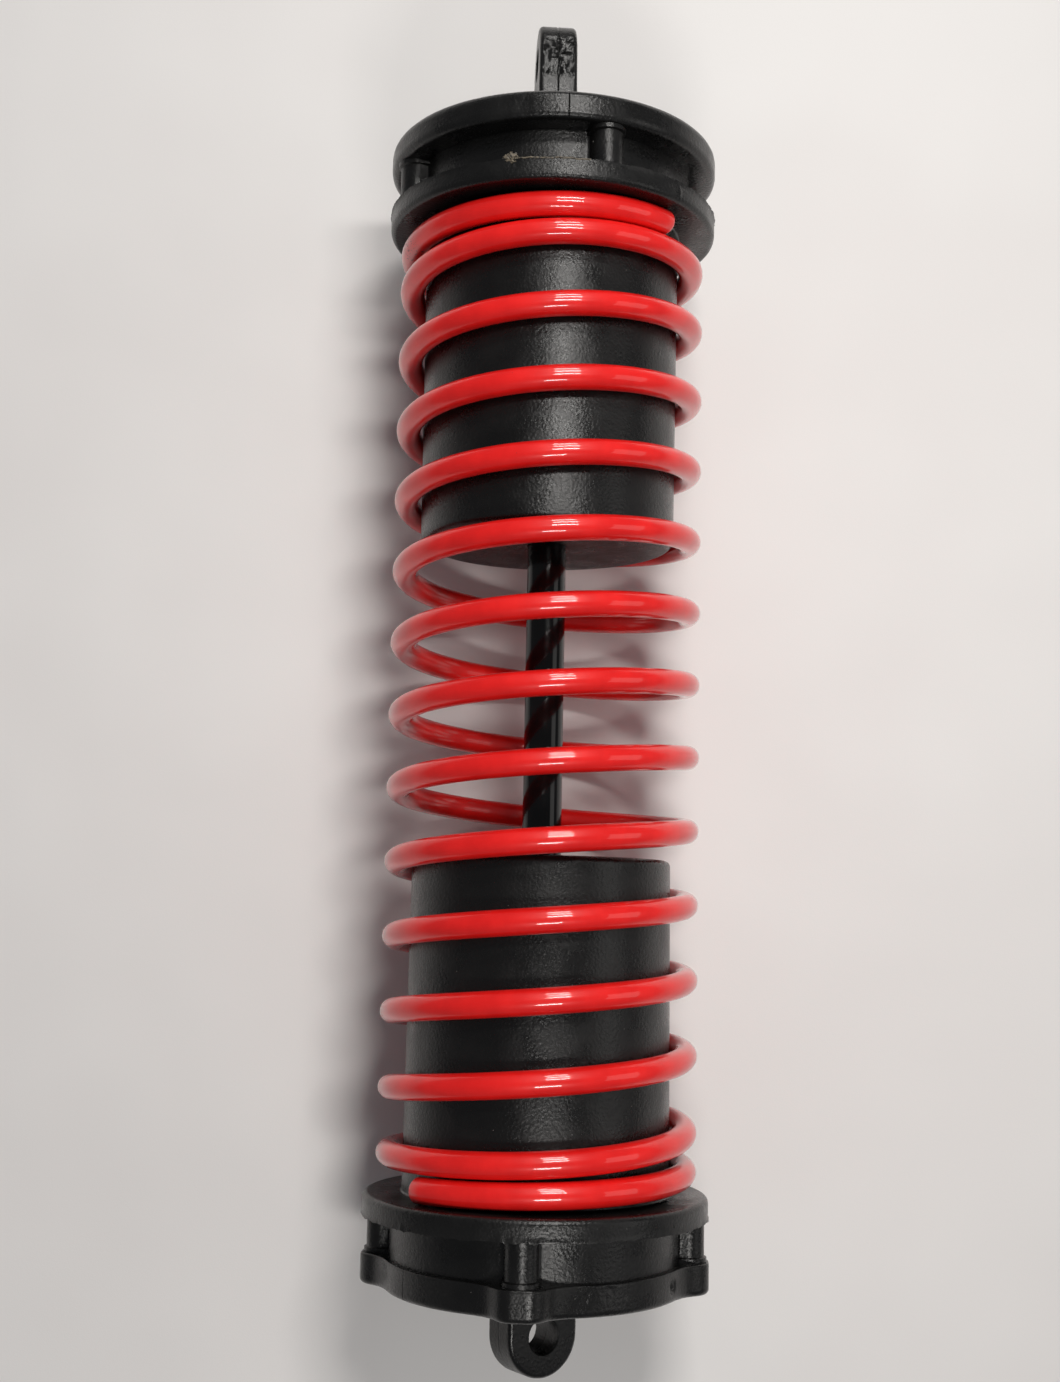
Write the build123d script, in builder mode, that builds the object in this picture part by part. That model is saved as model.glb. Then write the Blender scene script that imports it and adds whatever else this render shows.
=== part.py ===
from build123d import *

import os
from math import cos, hypot, pi, radians, sin

# A coil-over spring strut, lying along X. The origin is the middle of the lower eye's hole, +X runs to the
# upper eye and +Z is up as the strut lies on the ground. Turns about X are in degrees from +Z towards -Y.

# Moulded cup: the same outside for both ends
cup_length = 82.4
cup_root_r = 33.3
cup_taper = 0.5
cup_wall = 2.6
cup_end_wall = 4.0
cup_rim_round = 1.6
flange_thickness = 5.0
flange_margin = 3.2
flange_round = 1.4
neck_step = 2.7
neck_wall = 3.0
neck_length = 10.5

# Coil spring, which slides over both cups and seats on their flanges
wire_d = 6.4
spring_clearance = 0.3
spring_length = 246.0
spring_seat_gap = 0.05
spring_start_turn = -50
closed_turn_gap = 0.35
closed_turns = 410 / 360
active_turns = 12

# Screw columns and screws
column_count = 4
column_r = 4.0
column_standoff = 2.0
column_collar_r = 4.6
column_collar_height = 1.2
lower_column_turn = -6.0
upper_column_turn = 18.5
screw_shank_r = 1.75
screw_length = 15.0
screw_head_r = 3.3
screw_head_height = 2.4
screw_recess_span = 4.0
screw_recess_width = 1.1
screw_recess_depth = 1.3
screw_clearance = 0.05
head_clearance = 0.35
counterbore_depth = 3.0
pilot_run_out = 1.0

# End caps
cap_overhang = 1.8
lower_cap_thickness = 7.5
lobe_reach = 5.2
lobe_width = 9.0
lobe_root_round = 5.0
upper_cap_thickness = 7.5
upper_cap_reach = 5.0
cap_edge_round = 1.2
upper_cap_edge_round = 2.4
spigot_height = 4.0
spigot_wall = 2.0
spigot_clearance = 0.15

# Eye lugs
lug_width = 20.0
lug_thickness = 10.0
lug_edge_round = 1.2
lug_root = 1.0
eye_hole_r = 4.25
lower_eye_reach = 11.0
upper_eye_reach = 26.8
lower_eye_turn = 33.0
upper_eye_turn = -87.0

# Guide rod and what it runs and stops in
rod_r = 5.0
rod_running_clearance = 0.05
rod_shoulder = 1.0
rod_chamfer = 0.8
bush_wall = 2.0
bush_length = 9.0
bush_turning_clearance = 0.05
bush_lip = 1.5
lip_clearance = 0.4
hub_wall = 3.5
ring_thickness = 1.2
ring_bite = 1.0
ring_gap = 4.0
ring_float = 0.1
hub_end_land = 1.2
stop_gap = 0.1
bumper_wall = 4.5
bumper_length = 5.0
bumper_round = 1.2
washer_margin = 1.5
washer_thickness = 2.0
nut_wall = 2.5
nut_height = 6.5
thread_beyond_nut = 1.5
pinned_hub_length = 20.0
rod_beyond_hub = 1.5
pin_r = 2.0
pin_fit = 0.01
pin_beyond_hub = 0.5
pin_turn = 0.0

# Radii that follow from what fits what
cup_tip_r = cup_root_r - cup_taper
neck_r = cup_root_r + neck_step
wire_r = wire_d / 2
coil_mean_r = cup_root_r + spring_clearance + wire_r
flange_r = coil_mean_r + wire_r + flange_margin
column_circle_r = neck_r + column_standoff
lower_cap_r = neck_r + cap_overhang
lobe_r = column_circle_r + lobe_reach
upper_cap_r = column_circle_r + upper_cap_reach
rod_thread_r = rod_r - rod_shoulder
bush_r = rod_r + rod_running_clearance + bush_wall
bush_hole_r = bush_r + bush_turning_clearance
hub_r = bush_hole_r + hub_wall
ring_outer_r = bush_hole_r + ring_bite
ring_inner_r = bush_hole_r - ring_bite
bumper_r = rod_r + bumper_wall
washer_r = bumper_r + washer_margin
nut_across_flats = 2 * (rod_thread_r + nut_wall)

# Stations along X, from the lower eye to the upper eye
lower_cap_face = lower_eye_reach
lower_cap_joint = lower_cap_face + lower_cap_thickness
lower_seat = lower_cap_joint + neck_length + flange_thickness
lower_cup_tip = lower_seat + cup_length
upper_seat = lower_seat + spring_length
upper_cup_tip = upper_seat - cup_length
upper_cap_joint = upper_seat + flange_thickness + neck_length
upper_cap_face = upper_cap_joint + upper_cap_thickness
upper_eye = upper_cap_face + upper_eye_reach

# Bush, ring and stop, counted back from the lower cup's tip
bush_top = lower_cup_tip - bush_lip
bush_bottom = bush_top - bush_length
ring_top = bush_bottom - ring_float
ring_bottom = ring_top - ring_thickness
bush_hub_end = ring_bottom - ring_float - hub_end_land
bumper_bottom = bush_hub_end - stop_gap - bumper_length
washer_bottom = bumper_bottom - washer_thickness
nut_bottom = washer_bottom - nut_height
rod_bottom = nut_bottom - thread_beyond_nut

# Hub of the upper cup, which is pinned to the rod
pin_hub_end = upper_cup_tip + cup_end_wall + pinned_hub_length
pin_station = upper_cup_tip + cup_end_wall + pinned_hub_length / 2
rod_top = pin_hub_end + rod_beyond_hub

os.makedirs("parts", exist_ok=True)


def across(turn):
    """The unit vector square to the X axis at a turn about it."""
    return Vector(0, -sin(radians(turn)), cos(radians(turn)))


def turned_plane(x, turn):
    """A plane square to X at station x, whose own x axis points along the turn."""
    return Plane(origin=(x, 0, 0), x_dir=across(turn), z_dir=(1, 0, 0))


def half_section(points):
    """A closed outline of (station, radius) points, to be revolved about X."""
    with BuildSketch(Plane.XY) as outline:
        with BuildLine():
            Polyline(*points, close=True)
        make_face()
    return outline.sketch


def cup_points(tip, seat, away, hub):
    """Outline of a cup: outside from the tip to the cap joint, then inside, back round the hub.

    away is -1 where the cap lies at lower X than the tip, and 1 where it lies at higher X. hub lists
    (distance from the tip, radius) points from the hub's outside, down its bore, to the tip's face.
    """
    flange_back = seat + away * flange_thickness
    joint = flange_back + away * neck_length
    outside = [
        (tip, cup_tip_r),
        (seat, cup_root_r),
        (seat, flange_r),
        (flange_back, flange_r),
        (flange_back, neck_r),
        (joint, neck_r),
    ]
    inside = [
        (joint, neck_r - neck_wall),
        (flange_back, neck_r - neck_wall),
        (seat, cup_root_r - cup_wall),
        (tip + away * cup_end_wall, cup_tip_r - cup_wall),
    ]
    return outside + inside + [(tip + away * depth, radius) for depth, radius in hub]


def rim_edges(part, station, radius):
    """The round edges of one radius at one station along X."""
    circles = part.edges().filter_by(GeomType.CIRCLE)
    rims = circles.filter_by_position(Axis.X, station - 0.01, station + 0.01)
    return rims.filter_by(lambda edge: abs(edge.radius - radius) < 0.01)


def cup_rims(part, tip, seat, away):
    """Edges of the cup that carry a moulding radius: the tip's rim, then the flange's two rims."""
    flange_back = seat + away * flange_thickness
    tip_rim = rim_edges(part, tip, cup_tip_r)
    flange_rims = rim_edges(part, seat, flange_r) + rim_edges(part, flange_back, flange_r)
    return tip_rim, flange_rims


def column_plane(station, away, turn):
    """Sketch plane at a station whose normal points away from the cup's tip."""
    return Plane(origin=(station, 0, 0), x_dir=across(turn), z_dir=(away, 0, 0))


def cup_columns(seat, away, turn):
    """Screw columns through the neck, each with a low collar where it meets the cap, added to the part."""
    flange_back = seat + away * flange_thickness
    joint = flange_back + away * neck_length
    with BuildSketch(column_plane(flange_back, away, turn)) as columns:
        with PolarLocations(column_circle_r, column_count):
            Circle(column_r)
        Circle(neck_r - neck_wall, mode=Mode.SUBTRACT)
    extrude(columns.sketch, amount=neck_length)
    with BuildSketch(column_plane(joint, -away, turn)) as collars:
        with PolarLocations(column_circle_r, column_count):
            Circle(column_collar_r)
        Circle(neck_r - neck_wall, mode=Mode.SUBTRACT)
    extrude(collars.sketch, amount=column_collar_height)


def pilot_holes(joint, away, turn, grip):
    """Blind pilot holes for the screws, cut from the cap joint into the columns."""
    with BuildSketch(column_plane(joint, -away, turn)) as pilots:
        with PolarLocations(column_circle_r, column_count):
            Circle(screw_shank_r + screw_clearance)
    extrude(pilots.sketch, amount=grip + pilot_run_out, mode=Mode.SUBTRACT)


def screw_holes(face, away, turn, thickness):
    """Clearance holes and head counterbores through a cap, cut from its outer face."""
    with BuildSketch(column_plane(face, -away, turn)) as shanks:
        with PolarLocations(column_circle_r, column_count):
            Circle(screw_shank_r + screw_clearance)
    extrude(shanks.sketch, amount=thickness, mode=Mode.SUBTRACT)
    with BuildSketch(column_plane(face, -away, turn)) as heads:
        with PolarLocations(column_circle_r, column_count):
            Circle(screw_head_r + head_clearance)
    extrude(heads.sketch, amount=counterbore_depth, mode=Mode.SUBTRACT)


def screws(face, away, turn):
    """The screws of one cap: round heads with a cross recess, seated in the counterbores."""
    seat = face - away * counterbore_depth
    with BuildSketch(column_plane(seat, -away, turn)) as shanks:
        with PolarLocations(column_circle_r, column_count):
            Circle(screw_shank_r)
    extrude(shanks.sketch, amount=screw_length)
    with BuildSketch(column_plane(seat, away, turn)) as heads:
        with PolarLocations(column_circle_r, column_count):
            Circle(screw_head_r)
    extrude(heads.sketch, amount=screw_head_height)
    with BuildSketch(column_plane(seat + away * screw_head_height, -away, turn)) as recesses:
        with PolarLocations(column_circle_r, column_count):
            Rectangle(screw_recess_span, screw_recess_width)
            Rectangle(screw_recess_width, screw_recess_span)
    extrude(recesses.sketch, amount=screw_recess_depth, mode=Mode.SUBTRACT)


def eye_lug(eye, face, away, turn):
    """A flat lug with a round end about the eye, reaching from the cap's face, added to the part."""
    reach = abs(eye - face) + lug_root
    plane = Plane(origin=(eye, 0, 0), x_dir=(-away, 0, 0), z_dir=across(turn))
    with BuildPart(mode=Mode.PRIVATE) as lug:
        with BuildSketch(plane):
            Circle(lug_width / 2)
            Rectangle(reach, lug_width, align=(Align.MIN, Align.CENTER))
        extrude(amount=lug_thickness / 2, both=True)
        ends = lug.faces().sort_by(Axis.X)
        root_face = ends[0] if away > 0 else ends[-1]
        outline = lug.edges().filter_by(lambda edge: edge not in root_face.edges())
        side = lug_thickness / 2
        rims = outline.filter_by(lambda edge: abs(abs(edge.center().dot(across(turn))) - side) < 0.01)
        fillet(rims, radius=lug_edge_round)
    add(lug.part)


def eye_hole(eye, turn):
    """The bolt hole across a lug, right through it."""
    with BuildSketch(Plane(origin=(eye, 0, 0), x_dir=(1, 0, 0), z_dir=across(turn))) as hole:
        Circle(eye_hole_r)
    extrude(hole.sketch, amount=lug_thickness, both=True, mode=Mode.SUBTRACT)


def cap_spigot(joint, away):
    """The ring on a cap's inner face that centres it in the neck, added to the part."""
    spigot_r = neck_r - neck_wall - spigot_clearance
    with BuildSketch(column_plane(joint, -away, 0)) as ring:
        Circle(spigot_r)
        Circle(spigot_r - spigot_wall, mode=Mode.SUBTRACT)
    extrude(ring.sketch, amount=spigot_height)


# Lower cup: a hollow moulding with a hub that holds the turning bush
bush_hub = [
    (cup_end_wall, hub_r),
    (lower_cup_tip - bush_hub_end, hub_r),
    (lower_cup_tip - bush_hub_end, bush_hole_r),
    (lower_cup_tip - ring_bottom + ring_float, bush_hole_r),
    (lower_cup_tip - ring_bottom + ring_float, ring_outer_r),
    (lower_cup_tip - ring_top, ring_outer_r),
    (lower_cup_tip - ring_top, bush_hole_r),
    (bush_lip, bush_hole_r),
    (bush_lip, rod_r + lip_clearance),
    (0, rod_r + lip_clearance),
]
lower_grip = screw_length - (lower_cap_thickness - counterbore_depth)
with BuildPart() as lower_cup:
    revolve(half_section(cup_points(lower_cup_tip, lower_seat, -1, bush_hub)), axis=Axis.X)
    tip_rim, flange_rims = cup_rims(lower_cup, lower_cup_tip, lower_seat, -1)
    fillet(tip_rim, radius=cup_rim_round)
    fillet(flange_rims, radius=flange_round)
    cup_columns(lower_seat, -1, lower_column_turn)
    pilot_holes(lower_cap_joint, -1, lower_column_turn, lower_grip)
lower_cup.part.label = "lower_cup"
export_step(lower_cup.part, "parts/lower_cup.step")

# Upper cup: the same outside, with a longer hub that is pinned to the rod
pin_hub = [
    (cup_end_wall, hub_r),
    (pin_hub_end - upper_cup_tip, hub_r),
    (pin_hub_end - upper_cup_tip, rod_r + pin_fit),
    (0, rod_r + pin_fit),
]
upper_grip = screw_length - (upper_cap_thickness - counterbore_depth)
with BuildPart() as upper_cup:
    revolve(half_section(cup_points(upper_cup_tip, upper_seat, 1, pin_hub)), axis=Axis.X)
    tip_rim, flange_rims = cup_rims(upper_cup, upper_cup_tip, upper_seat, 1)
    fillet(tip_rim, radius=cup_rim_round)
    fillet(flange_rims, radius=flange_round)
    cup_columns(upper_seat, 1, upper_column_turn)
    pilot_holes(upper_cap_joint, 1, upper_column_turn, upper_grip)
    with BuildSketch(Plane(origin=(pin_station, 0, 0), x_dir=(1, 0, 0), z_dir=across(pin_turn))) as pin_hole:
        Circle(pin_r + pin_fit)
    extrude(pin_hole.sketch, amount=hub_r + pin_beyond_hub, both=True, mode=Mode.SUBTRACT)
upper_cup.part.label = "upper_cup"
export_step(upper_cup.part, "parts/upper_cup.step")

# Lower end cap: a round plate with a lobe over each screw column, and the short eye
with BuildPart() as lower_end_cap:
    with BuildSketch(column_plane(lower_cap_joint, -1, lower_column_turn)) as plate:
        Circle(lower_cap_r)
        with PolarLocations(0, column_count):
            Rectangle(lobe_r, lobe_width, align=(Align.MIN, Align.CENTER))
        roots = plate.vertices().filter_by(lambda corner: abs(hypot(corner.Y, corner.Z) - lower_cap_r) < 0.01)
        fillet(roots, radius=lobe_root_round)
    extrude(amount=lower_cap_thickness)
    outer_face = lower_end_cap.faces().filter_by(Axis.X).sort_by(Axis.X)[0]
    fillet(outer_face.edges(), radius=cap_edge_round)
    cap_spigot(lower_cap_joint, -1)
    eye_lug(0, lower_cap_face, -1, lower_eye_turn)
    eye_hole(0, lower_eye_turn)
    screw_holes(lower_cap_face, -1, lower_column_turn, lower_cap_thickness)
lower_end_cap.part.label = "lower_end_cap"
export_step(lower_end_cap.part, "parts/lower_end_cap.step")

# Upper end cap: a full round disc with soft edges, and the long eye
with BuildPart() as upper_end_cap:
    with BuildSketch(column_plane(upper_cap_joint, 1, 0)):
        Circle(upper_cap_r)
    extrude(amount=upper_cap_thickness)
    fillet(upper_end_cap.edges(), radius=upper_cap_edge_round)
    cap_spigot(upper_cap_joint, 1)
    eye_lug(upper_eye, upper_cap_face, 1, upper_eye_turn)
    eye_hole(upper_eye, upper_eye_turn)
    screw_holes(upper_cap_face, 1, upper_column_turn, upper_cap_thickness)
upper_end_cap.part.label = "upper_end_cap"
export_step(upper_end_cap.part, "parts/upper_end_cap.step")

with BuildPart() as lower_cap_screws:
    screws(lower_cap_face, -1, lower_column_turn)
lower_cap_screws.part.label = "lower_cap_screws"
export_step(lower_cap_screws.part, "parts/lower_cap_screws.step")

with BuildPart() as upper_cap_screws:
    screws(upper_cap_face, 1, upper_column_turn)
upper_cap_screws.part.label = "upper_cap_screws"
export_step(upper_cap_screws.part, "parts/upper_cap_screws.step")

# Guide bush: turns in the lower hub, and the rod slides through it
with BuildPart() as rod_guide_bush:
    with BuildSketch(Plane.YZ.offset(bush_bottom)):
        Circle(bush_r)
        Circle(rod_r + rod_running_clearance, mode=Mode.SUBTRACT)
    extrude(amount=bush_length)
rod_guide_bush.part.label = "rod_guide_bush"
export_step(rod_guide_bush.part, "parts/rod_guide_bush.step")

# Split ring that keeps the bush in its hub
with BuildPart() as bush_retaining_ring:
    with BuildSketch(Plane.YZ.offset(ring_bottom)):
        Circle(ring_outer_r)
        Circle(ring_inner_r, mode=Mode.SUBTRACT)
        Rectangle(ring_outer_r, ring_gap, align=(Align.MIN, Align.CENTER), mode=Mode.SUBTRACT)
    extrude(amount=ring_thickness)
bush_retaining_ring.part.label = "bush_retaining_ring"
export_step(bush_retaining_ring.part, "parts/bush_retaining_ring.step")

# Guide rod: turned down at its lower end for the stop washer and nut, cross-drilled near its top
with BuildPart() as guide_rod:
    with BuildSketch(Plane.YZ.offset(rod_bottom)):
        Circle(rod_thread_r)
    extrude(amount=bumper_bottom - rod_bottom)
    with BuildSketch(Plane.YZ.offset(bumper_bottom)):
        Circle(rod_r)
    extrude(amount=rod_top - bumper_bottom)
    chamfer(rim_edges(guide_rod, rod_bottom, rod_thread_r), length=rod_chamfer)
    chamfer(rim_edges(guide_rod, rod_top, rod_r), length=rod_chamfer)
    with BuildSketch(Plane(origin=(pin_station, 0, 0), x_dir=(1, 0, 0), z_dir=across(pin_turn))) as pin_hole:
        Circle(pin_r + pin_fit)
    extrude(pin_hole.sketch, amount=rod_r * 2, both=True, mode=Mode.SUBTRACT)
guide_rod.part.label = "guide_rod"
export_step(guide_rod.part, "parts/guide_rod.step")

with BuildPart() as rod_cross_pin:
    with BuildSketch(Plane(origin=(pin_station, 0, 0), x_dir=(1, 0, 0), z_dir=across(pin_turn))):
        Circle(pin_r)
    extrude(amount=hub_r + pin_beyond_hub, both=True)
rod_cross_pin.part.label = "rod_cross_pin"
export_step(rod_cross_pin.part, "parts/rod_cross_pin.step")

# Rubber bumper, washer and nut that stop the rod against the hub at full length
with BuildPart() as rebound_bumper:
    with BuildSketch(Plane.YZ.offset(bumper_bottom)):
        Circle(bumper_r)
        Circle(rod_r, mode=Mode.SUBTRACT)
    extrude(amount=bumper_length)
    fillet(rim_edges(rebound_bumper, bumper_bottom + bumper_length, bumper_r), radius=bumper_round)
rebound_bumper.part.label = "rebound_bumper"
export_step(rebound_bumper.part, "parts/rebound_bumper.step")

with BuildPart() as stop_washer:
    with BuildSketch(Plane.YZ.offset(washer_bottom)):
        Circle(washer_r)
        Circle(rod_thread_r, mode=Mode.SUBTRACT)
    extrude(amount=washer_thickness)
stop_washer.part.label = "stop_washer"
export_step(stop_washer.part, "parts/stop_washer.step")

with BuildPart() as stop_nut:
    with BuildSketch(Plane.YZ.offset(nut_bottom)):
        RegularPolygon(radius=nut_across_flats / 2, side_count=6, major_radius=False)
        Circle(rod_thread_r, mode=Mode.SUBTRACT)
    extrude(amount=nut_height)
stop_nut.part.label = "stop_nut"
export_step(stop_nut.part, "parts/stop_nut.step")

# Coil spring: right-handed, one closed turn and a bit at each end, evenly pitched between
closed_pitch = wire_d + closed_turn_gap
closed_rise = closed_pitch * closed_turns
coil_rise = spring_length - 2 * (wire_r + spring_seat_gap)
active_pitch = (coil_rise - 2 * closed_rise) / active_turns


def coil_run(x, turn, pitch, turns):
    """One even stretch of the wire's centre line, from a station and turn."""
    return (turned_plane(x, turn) * Helix(pitch=pitch, height=pitch * turns, radius=coil_mean_r)).edge()


def wire_plane(point, turn):
    """The plane through the X axis at a turn, so that two runs meet in the same round face."""
    return Plane(origin=point, x_dir=(1, 0, 0), z_dir=across(turn + 90))


first_x = lower_seat + wire_r + spring_seat_gap
second_x = first_x + closed_rise
third_x = second_x + active_pitch * active_turns
second_turn = spring_start_turn + closed_turns * 360
third_turn = second_turn + active_turns * 360
runs = {
    spring_start_turn: coil_run(first_x, spring_start_turn, closed_pitch, closed_turns),
    second_turn: coil_run(second_x, second_turn, active_pitch, active_turns),
    third_turn: coil_run(third_x, third_turn, closed_pitch, closed_turns),
}
with BuildPart() as coil_spring:
    for turn, run in runs.items():
        with BuildSketch(wire_plane(run @ 0, turn)) as wire_section:
            Circle(wire_r)
        sweep(wire_section.sketch, path=run, is_frenet=True)
coil_spring.part.label = "coil_spring"
export_step(coil_spring.part, "parts/coil_spring.step")

wire_length = sum(run.length for run in runs.values())
wire_volume = pi * wire_r**2 * wire_length
print(f"active pitch {active_pitch:.2f}, wire {wire_length:.0f} long")
print(f"spring volume over section times length {coil_spring.part.volume / wire_volume:.4f}")
print(f"eye to eye {upper_eye:.1f}, seats at {lower_seat:.1f} and {upper_seat:.1f}")
print(f"room for the rod's end {rod_bottom - lower_cap_joint:.1f}")
print(f"between the cups {upper_cup_tip - lower_cup_tip:.1f}")
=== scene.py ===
"""Looks of a coil-over spring strut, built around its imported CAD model.

The classes hold their sizes in millimetres, and a piece turns into metres when it is finished. The strut
lies along X, from the lower eye at the origin to the upper eye, and turns about X are in degrees from +Z
towards -Y. Stations are places along X, and away says which way along X a part of the strut faces.
"""

import logging
import math
from dataclasses import dataclass
from enum import Enum
from typing import Any, Callable, Iterable, Sequence

import bmesh
import bpy
from mathutils import Matrix, Vector, noise


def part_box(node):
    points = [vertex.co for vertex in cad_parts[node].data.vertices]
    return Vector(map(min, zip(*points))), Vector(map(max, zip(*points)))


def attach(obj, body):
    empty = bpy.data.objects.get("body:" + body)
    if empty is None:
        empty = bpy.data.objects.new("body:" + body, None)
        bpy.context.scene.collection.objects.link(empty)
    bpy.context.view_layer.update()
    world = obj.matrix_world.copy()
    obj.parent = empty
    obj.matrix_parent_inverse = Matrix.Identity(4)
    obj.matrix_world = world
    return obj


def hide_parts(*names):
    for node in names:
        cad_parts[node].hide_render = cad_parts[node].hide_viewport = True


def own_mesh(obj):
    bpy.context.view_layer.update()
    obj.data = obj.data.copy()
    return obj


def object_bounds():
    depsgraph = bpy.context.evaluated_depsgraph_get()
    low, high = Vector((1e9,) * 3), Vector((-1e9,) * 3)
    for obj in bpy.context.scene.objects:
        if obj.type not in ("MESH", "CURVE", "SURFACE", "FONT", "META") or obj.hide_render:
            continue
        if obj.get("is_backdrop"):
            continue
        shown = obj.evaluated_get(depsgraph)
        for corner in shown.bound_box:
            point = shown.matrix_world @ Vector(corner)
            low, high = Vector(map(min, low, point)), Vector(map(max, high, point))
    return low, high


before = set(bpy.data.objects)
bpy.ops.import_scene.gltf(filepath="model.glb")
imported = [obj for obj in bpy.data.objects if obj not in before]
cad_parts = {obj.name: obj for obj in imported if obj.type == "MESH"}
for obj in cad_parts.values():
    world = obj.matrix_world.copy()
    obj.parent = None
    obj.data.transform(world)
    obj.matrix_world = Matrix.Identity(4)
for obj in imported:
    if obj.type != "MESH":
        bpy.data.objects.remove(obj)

log = logging.getLogger("strut")

MM = 0.001
X_AXIS, Y_AXIS, Z_AXIS = Vector((1.0, 0.0, 0.0)), Vector((0.0, 1.0, 0.0)), Vector((0.0, 0.0, 1.0))
QUARTER = 90.0
LOWER_TURN = -6.0
UPPER_TURN = 18.5


def across(turn: float) -> Vector:
    """The unit vector square to X at a turn about it."""
    angle = math.radians(turn)
    return Vector((0.0, -math.sin(angle), math.cos(angle)))


def turn_of(point: Vector) -> float:
    """The turn about X at which a point lies, from 0 up to 360."""
    return math.degrees(math.atan2(-point.y, point.z)) % 360.0


def radius_of(point: Vector) -> float:
    """How far a point lies from the X axis."""
    return math.hypot(point.y, point.z)


def frame_of(x_side: Vector, y_side: Vector, z_side: Vector, centre: Vector) -> Matrix:
    """The matrix that sets a shape's own three axes along these sides, at a centre."""
    rows = ((x_side[row], y_side[row], z_side[row], centre[row]) for row in range(3))
    return Matrix((*rows, (0.0, 0.0, 0.0, 1.0)))


def upright(place: Vector) -> Matrix:
    """The matrix that turns a shape's Z axis along X, at a place."""
    return Matrix.Translation(place) @ Matrix.Rotation(math.pi / 2.0, 4, "Y")


def added_verts(geometry: Iterable[Any]) -> list[bmesh.types.BMVert]:
    """The vertices among what an operator returns."""
    return [item for item in geometry if isinstance(item, bmesh.types.BMVert)]


def ease(low: float, high: float, value: float) -> float:
    """A smooth step from 0 at low to 1 at high."""
    share = min(max((value - low) / (high - low), 0.0), 1.0)
    return share * share * (3.0 - 2.0 * share)


def ragged(point: Vector, size: float, seed: float = 0.0) -> float:
    """Smooth noise between about -1 and 1 whose lumps are size across."""
    return noise.noise(point / size + Vector((seed, seed * 0.37, -seed)))


class Join(Enum):
    """How one solid is combined with another."""

    ADD = "UNION"
    CUT = "DIFFERENCE"


class Mark(Enum):
    """What a small fault in a moulding looks like."""

    LUMP = "lump"
    CRATER = "crater"
    ROUGH = "rough"


@dataclass(frozen=True)
class Blemish:
    """A small fault on a moulding's outside.

    Attributes:
        mark: What it looks like.
        station: Where it is along X.
        turn: Where it is about X, in degrees.
        reach: Its radius on the surface.
        depth: How deep or high it is.
        plateau: The share of its radius where it has its full depth.
        button: The height of a crater's middle as a share of its depth.
        steepness: How steep a crater's ring is.
    """

    mark: Mark
    station: float
    turn: float
    reach: float
    depth: float
    plateau: float = 0.35
    button: float = 0.55
    steepness: float = 5.0

    def push(self, point: Vector) -> float:
        """How far the surface moves outwards at a point.

        Args:
            point: A point on the moulding's outside.

        Returns:
            The distance, below zero where the surface sinks.
        """
        apart = (turn_of(point) - self.turn + 180.0) % 360.0 - 180.0
        along = math.hypot(point.x - self.station, math.radians(apart) * radius_of(point)) / self.reach
        if along >= 1.0:
            return 0.0
        fade = 1.0 - ease(self.plateau, 1.0, along)
        if self.mark is Mark.LUMP:
            return self.depth * fade
        if self.mark is Mark.CRATER:
            middle = self.button * math.exp(-((along * self.steepness) ** 2))
            return self.depth * (middle - math.exp(-(((along - 0.5) * self.steepness) ** 2)))
        return self.depth * fade * (ragged(point, 0.9) - 0.35)


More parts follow.
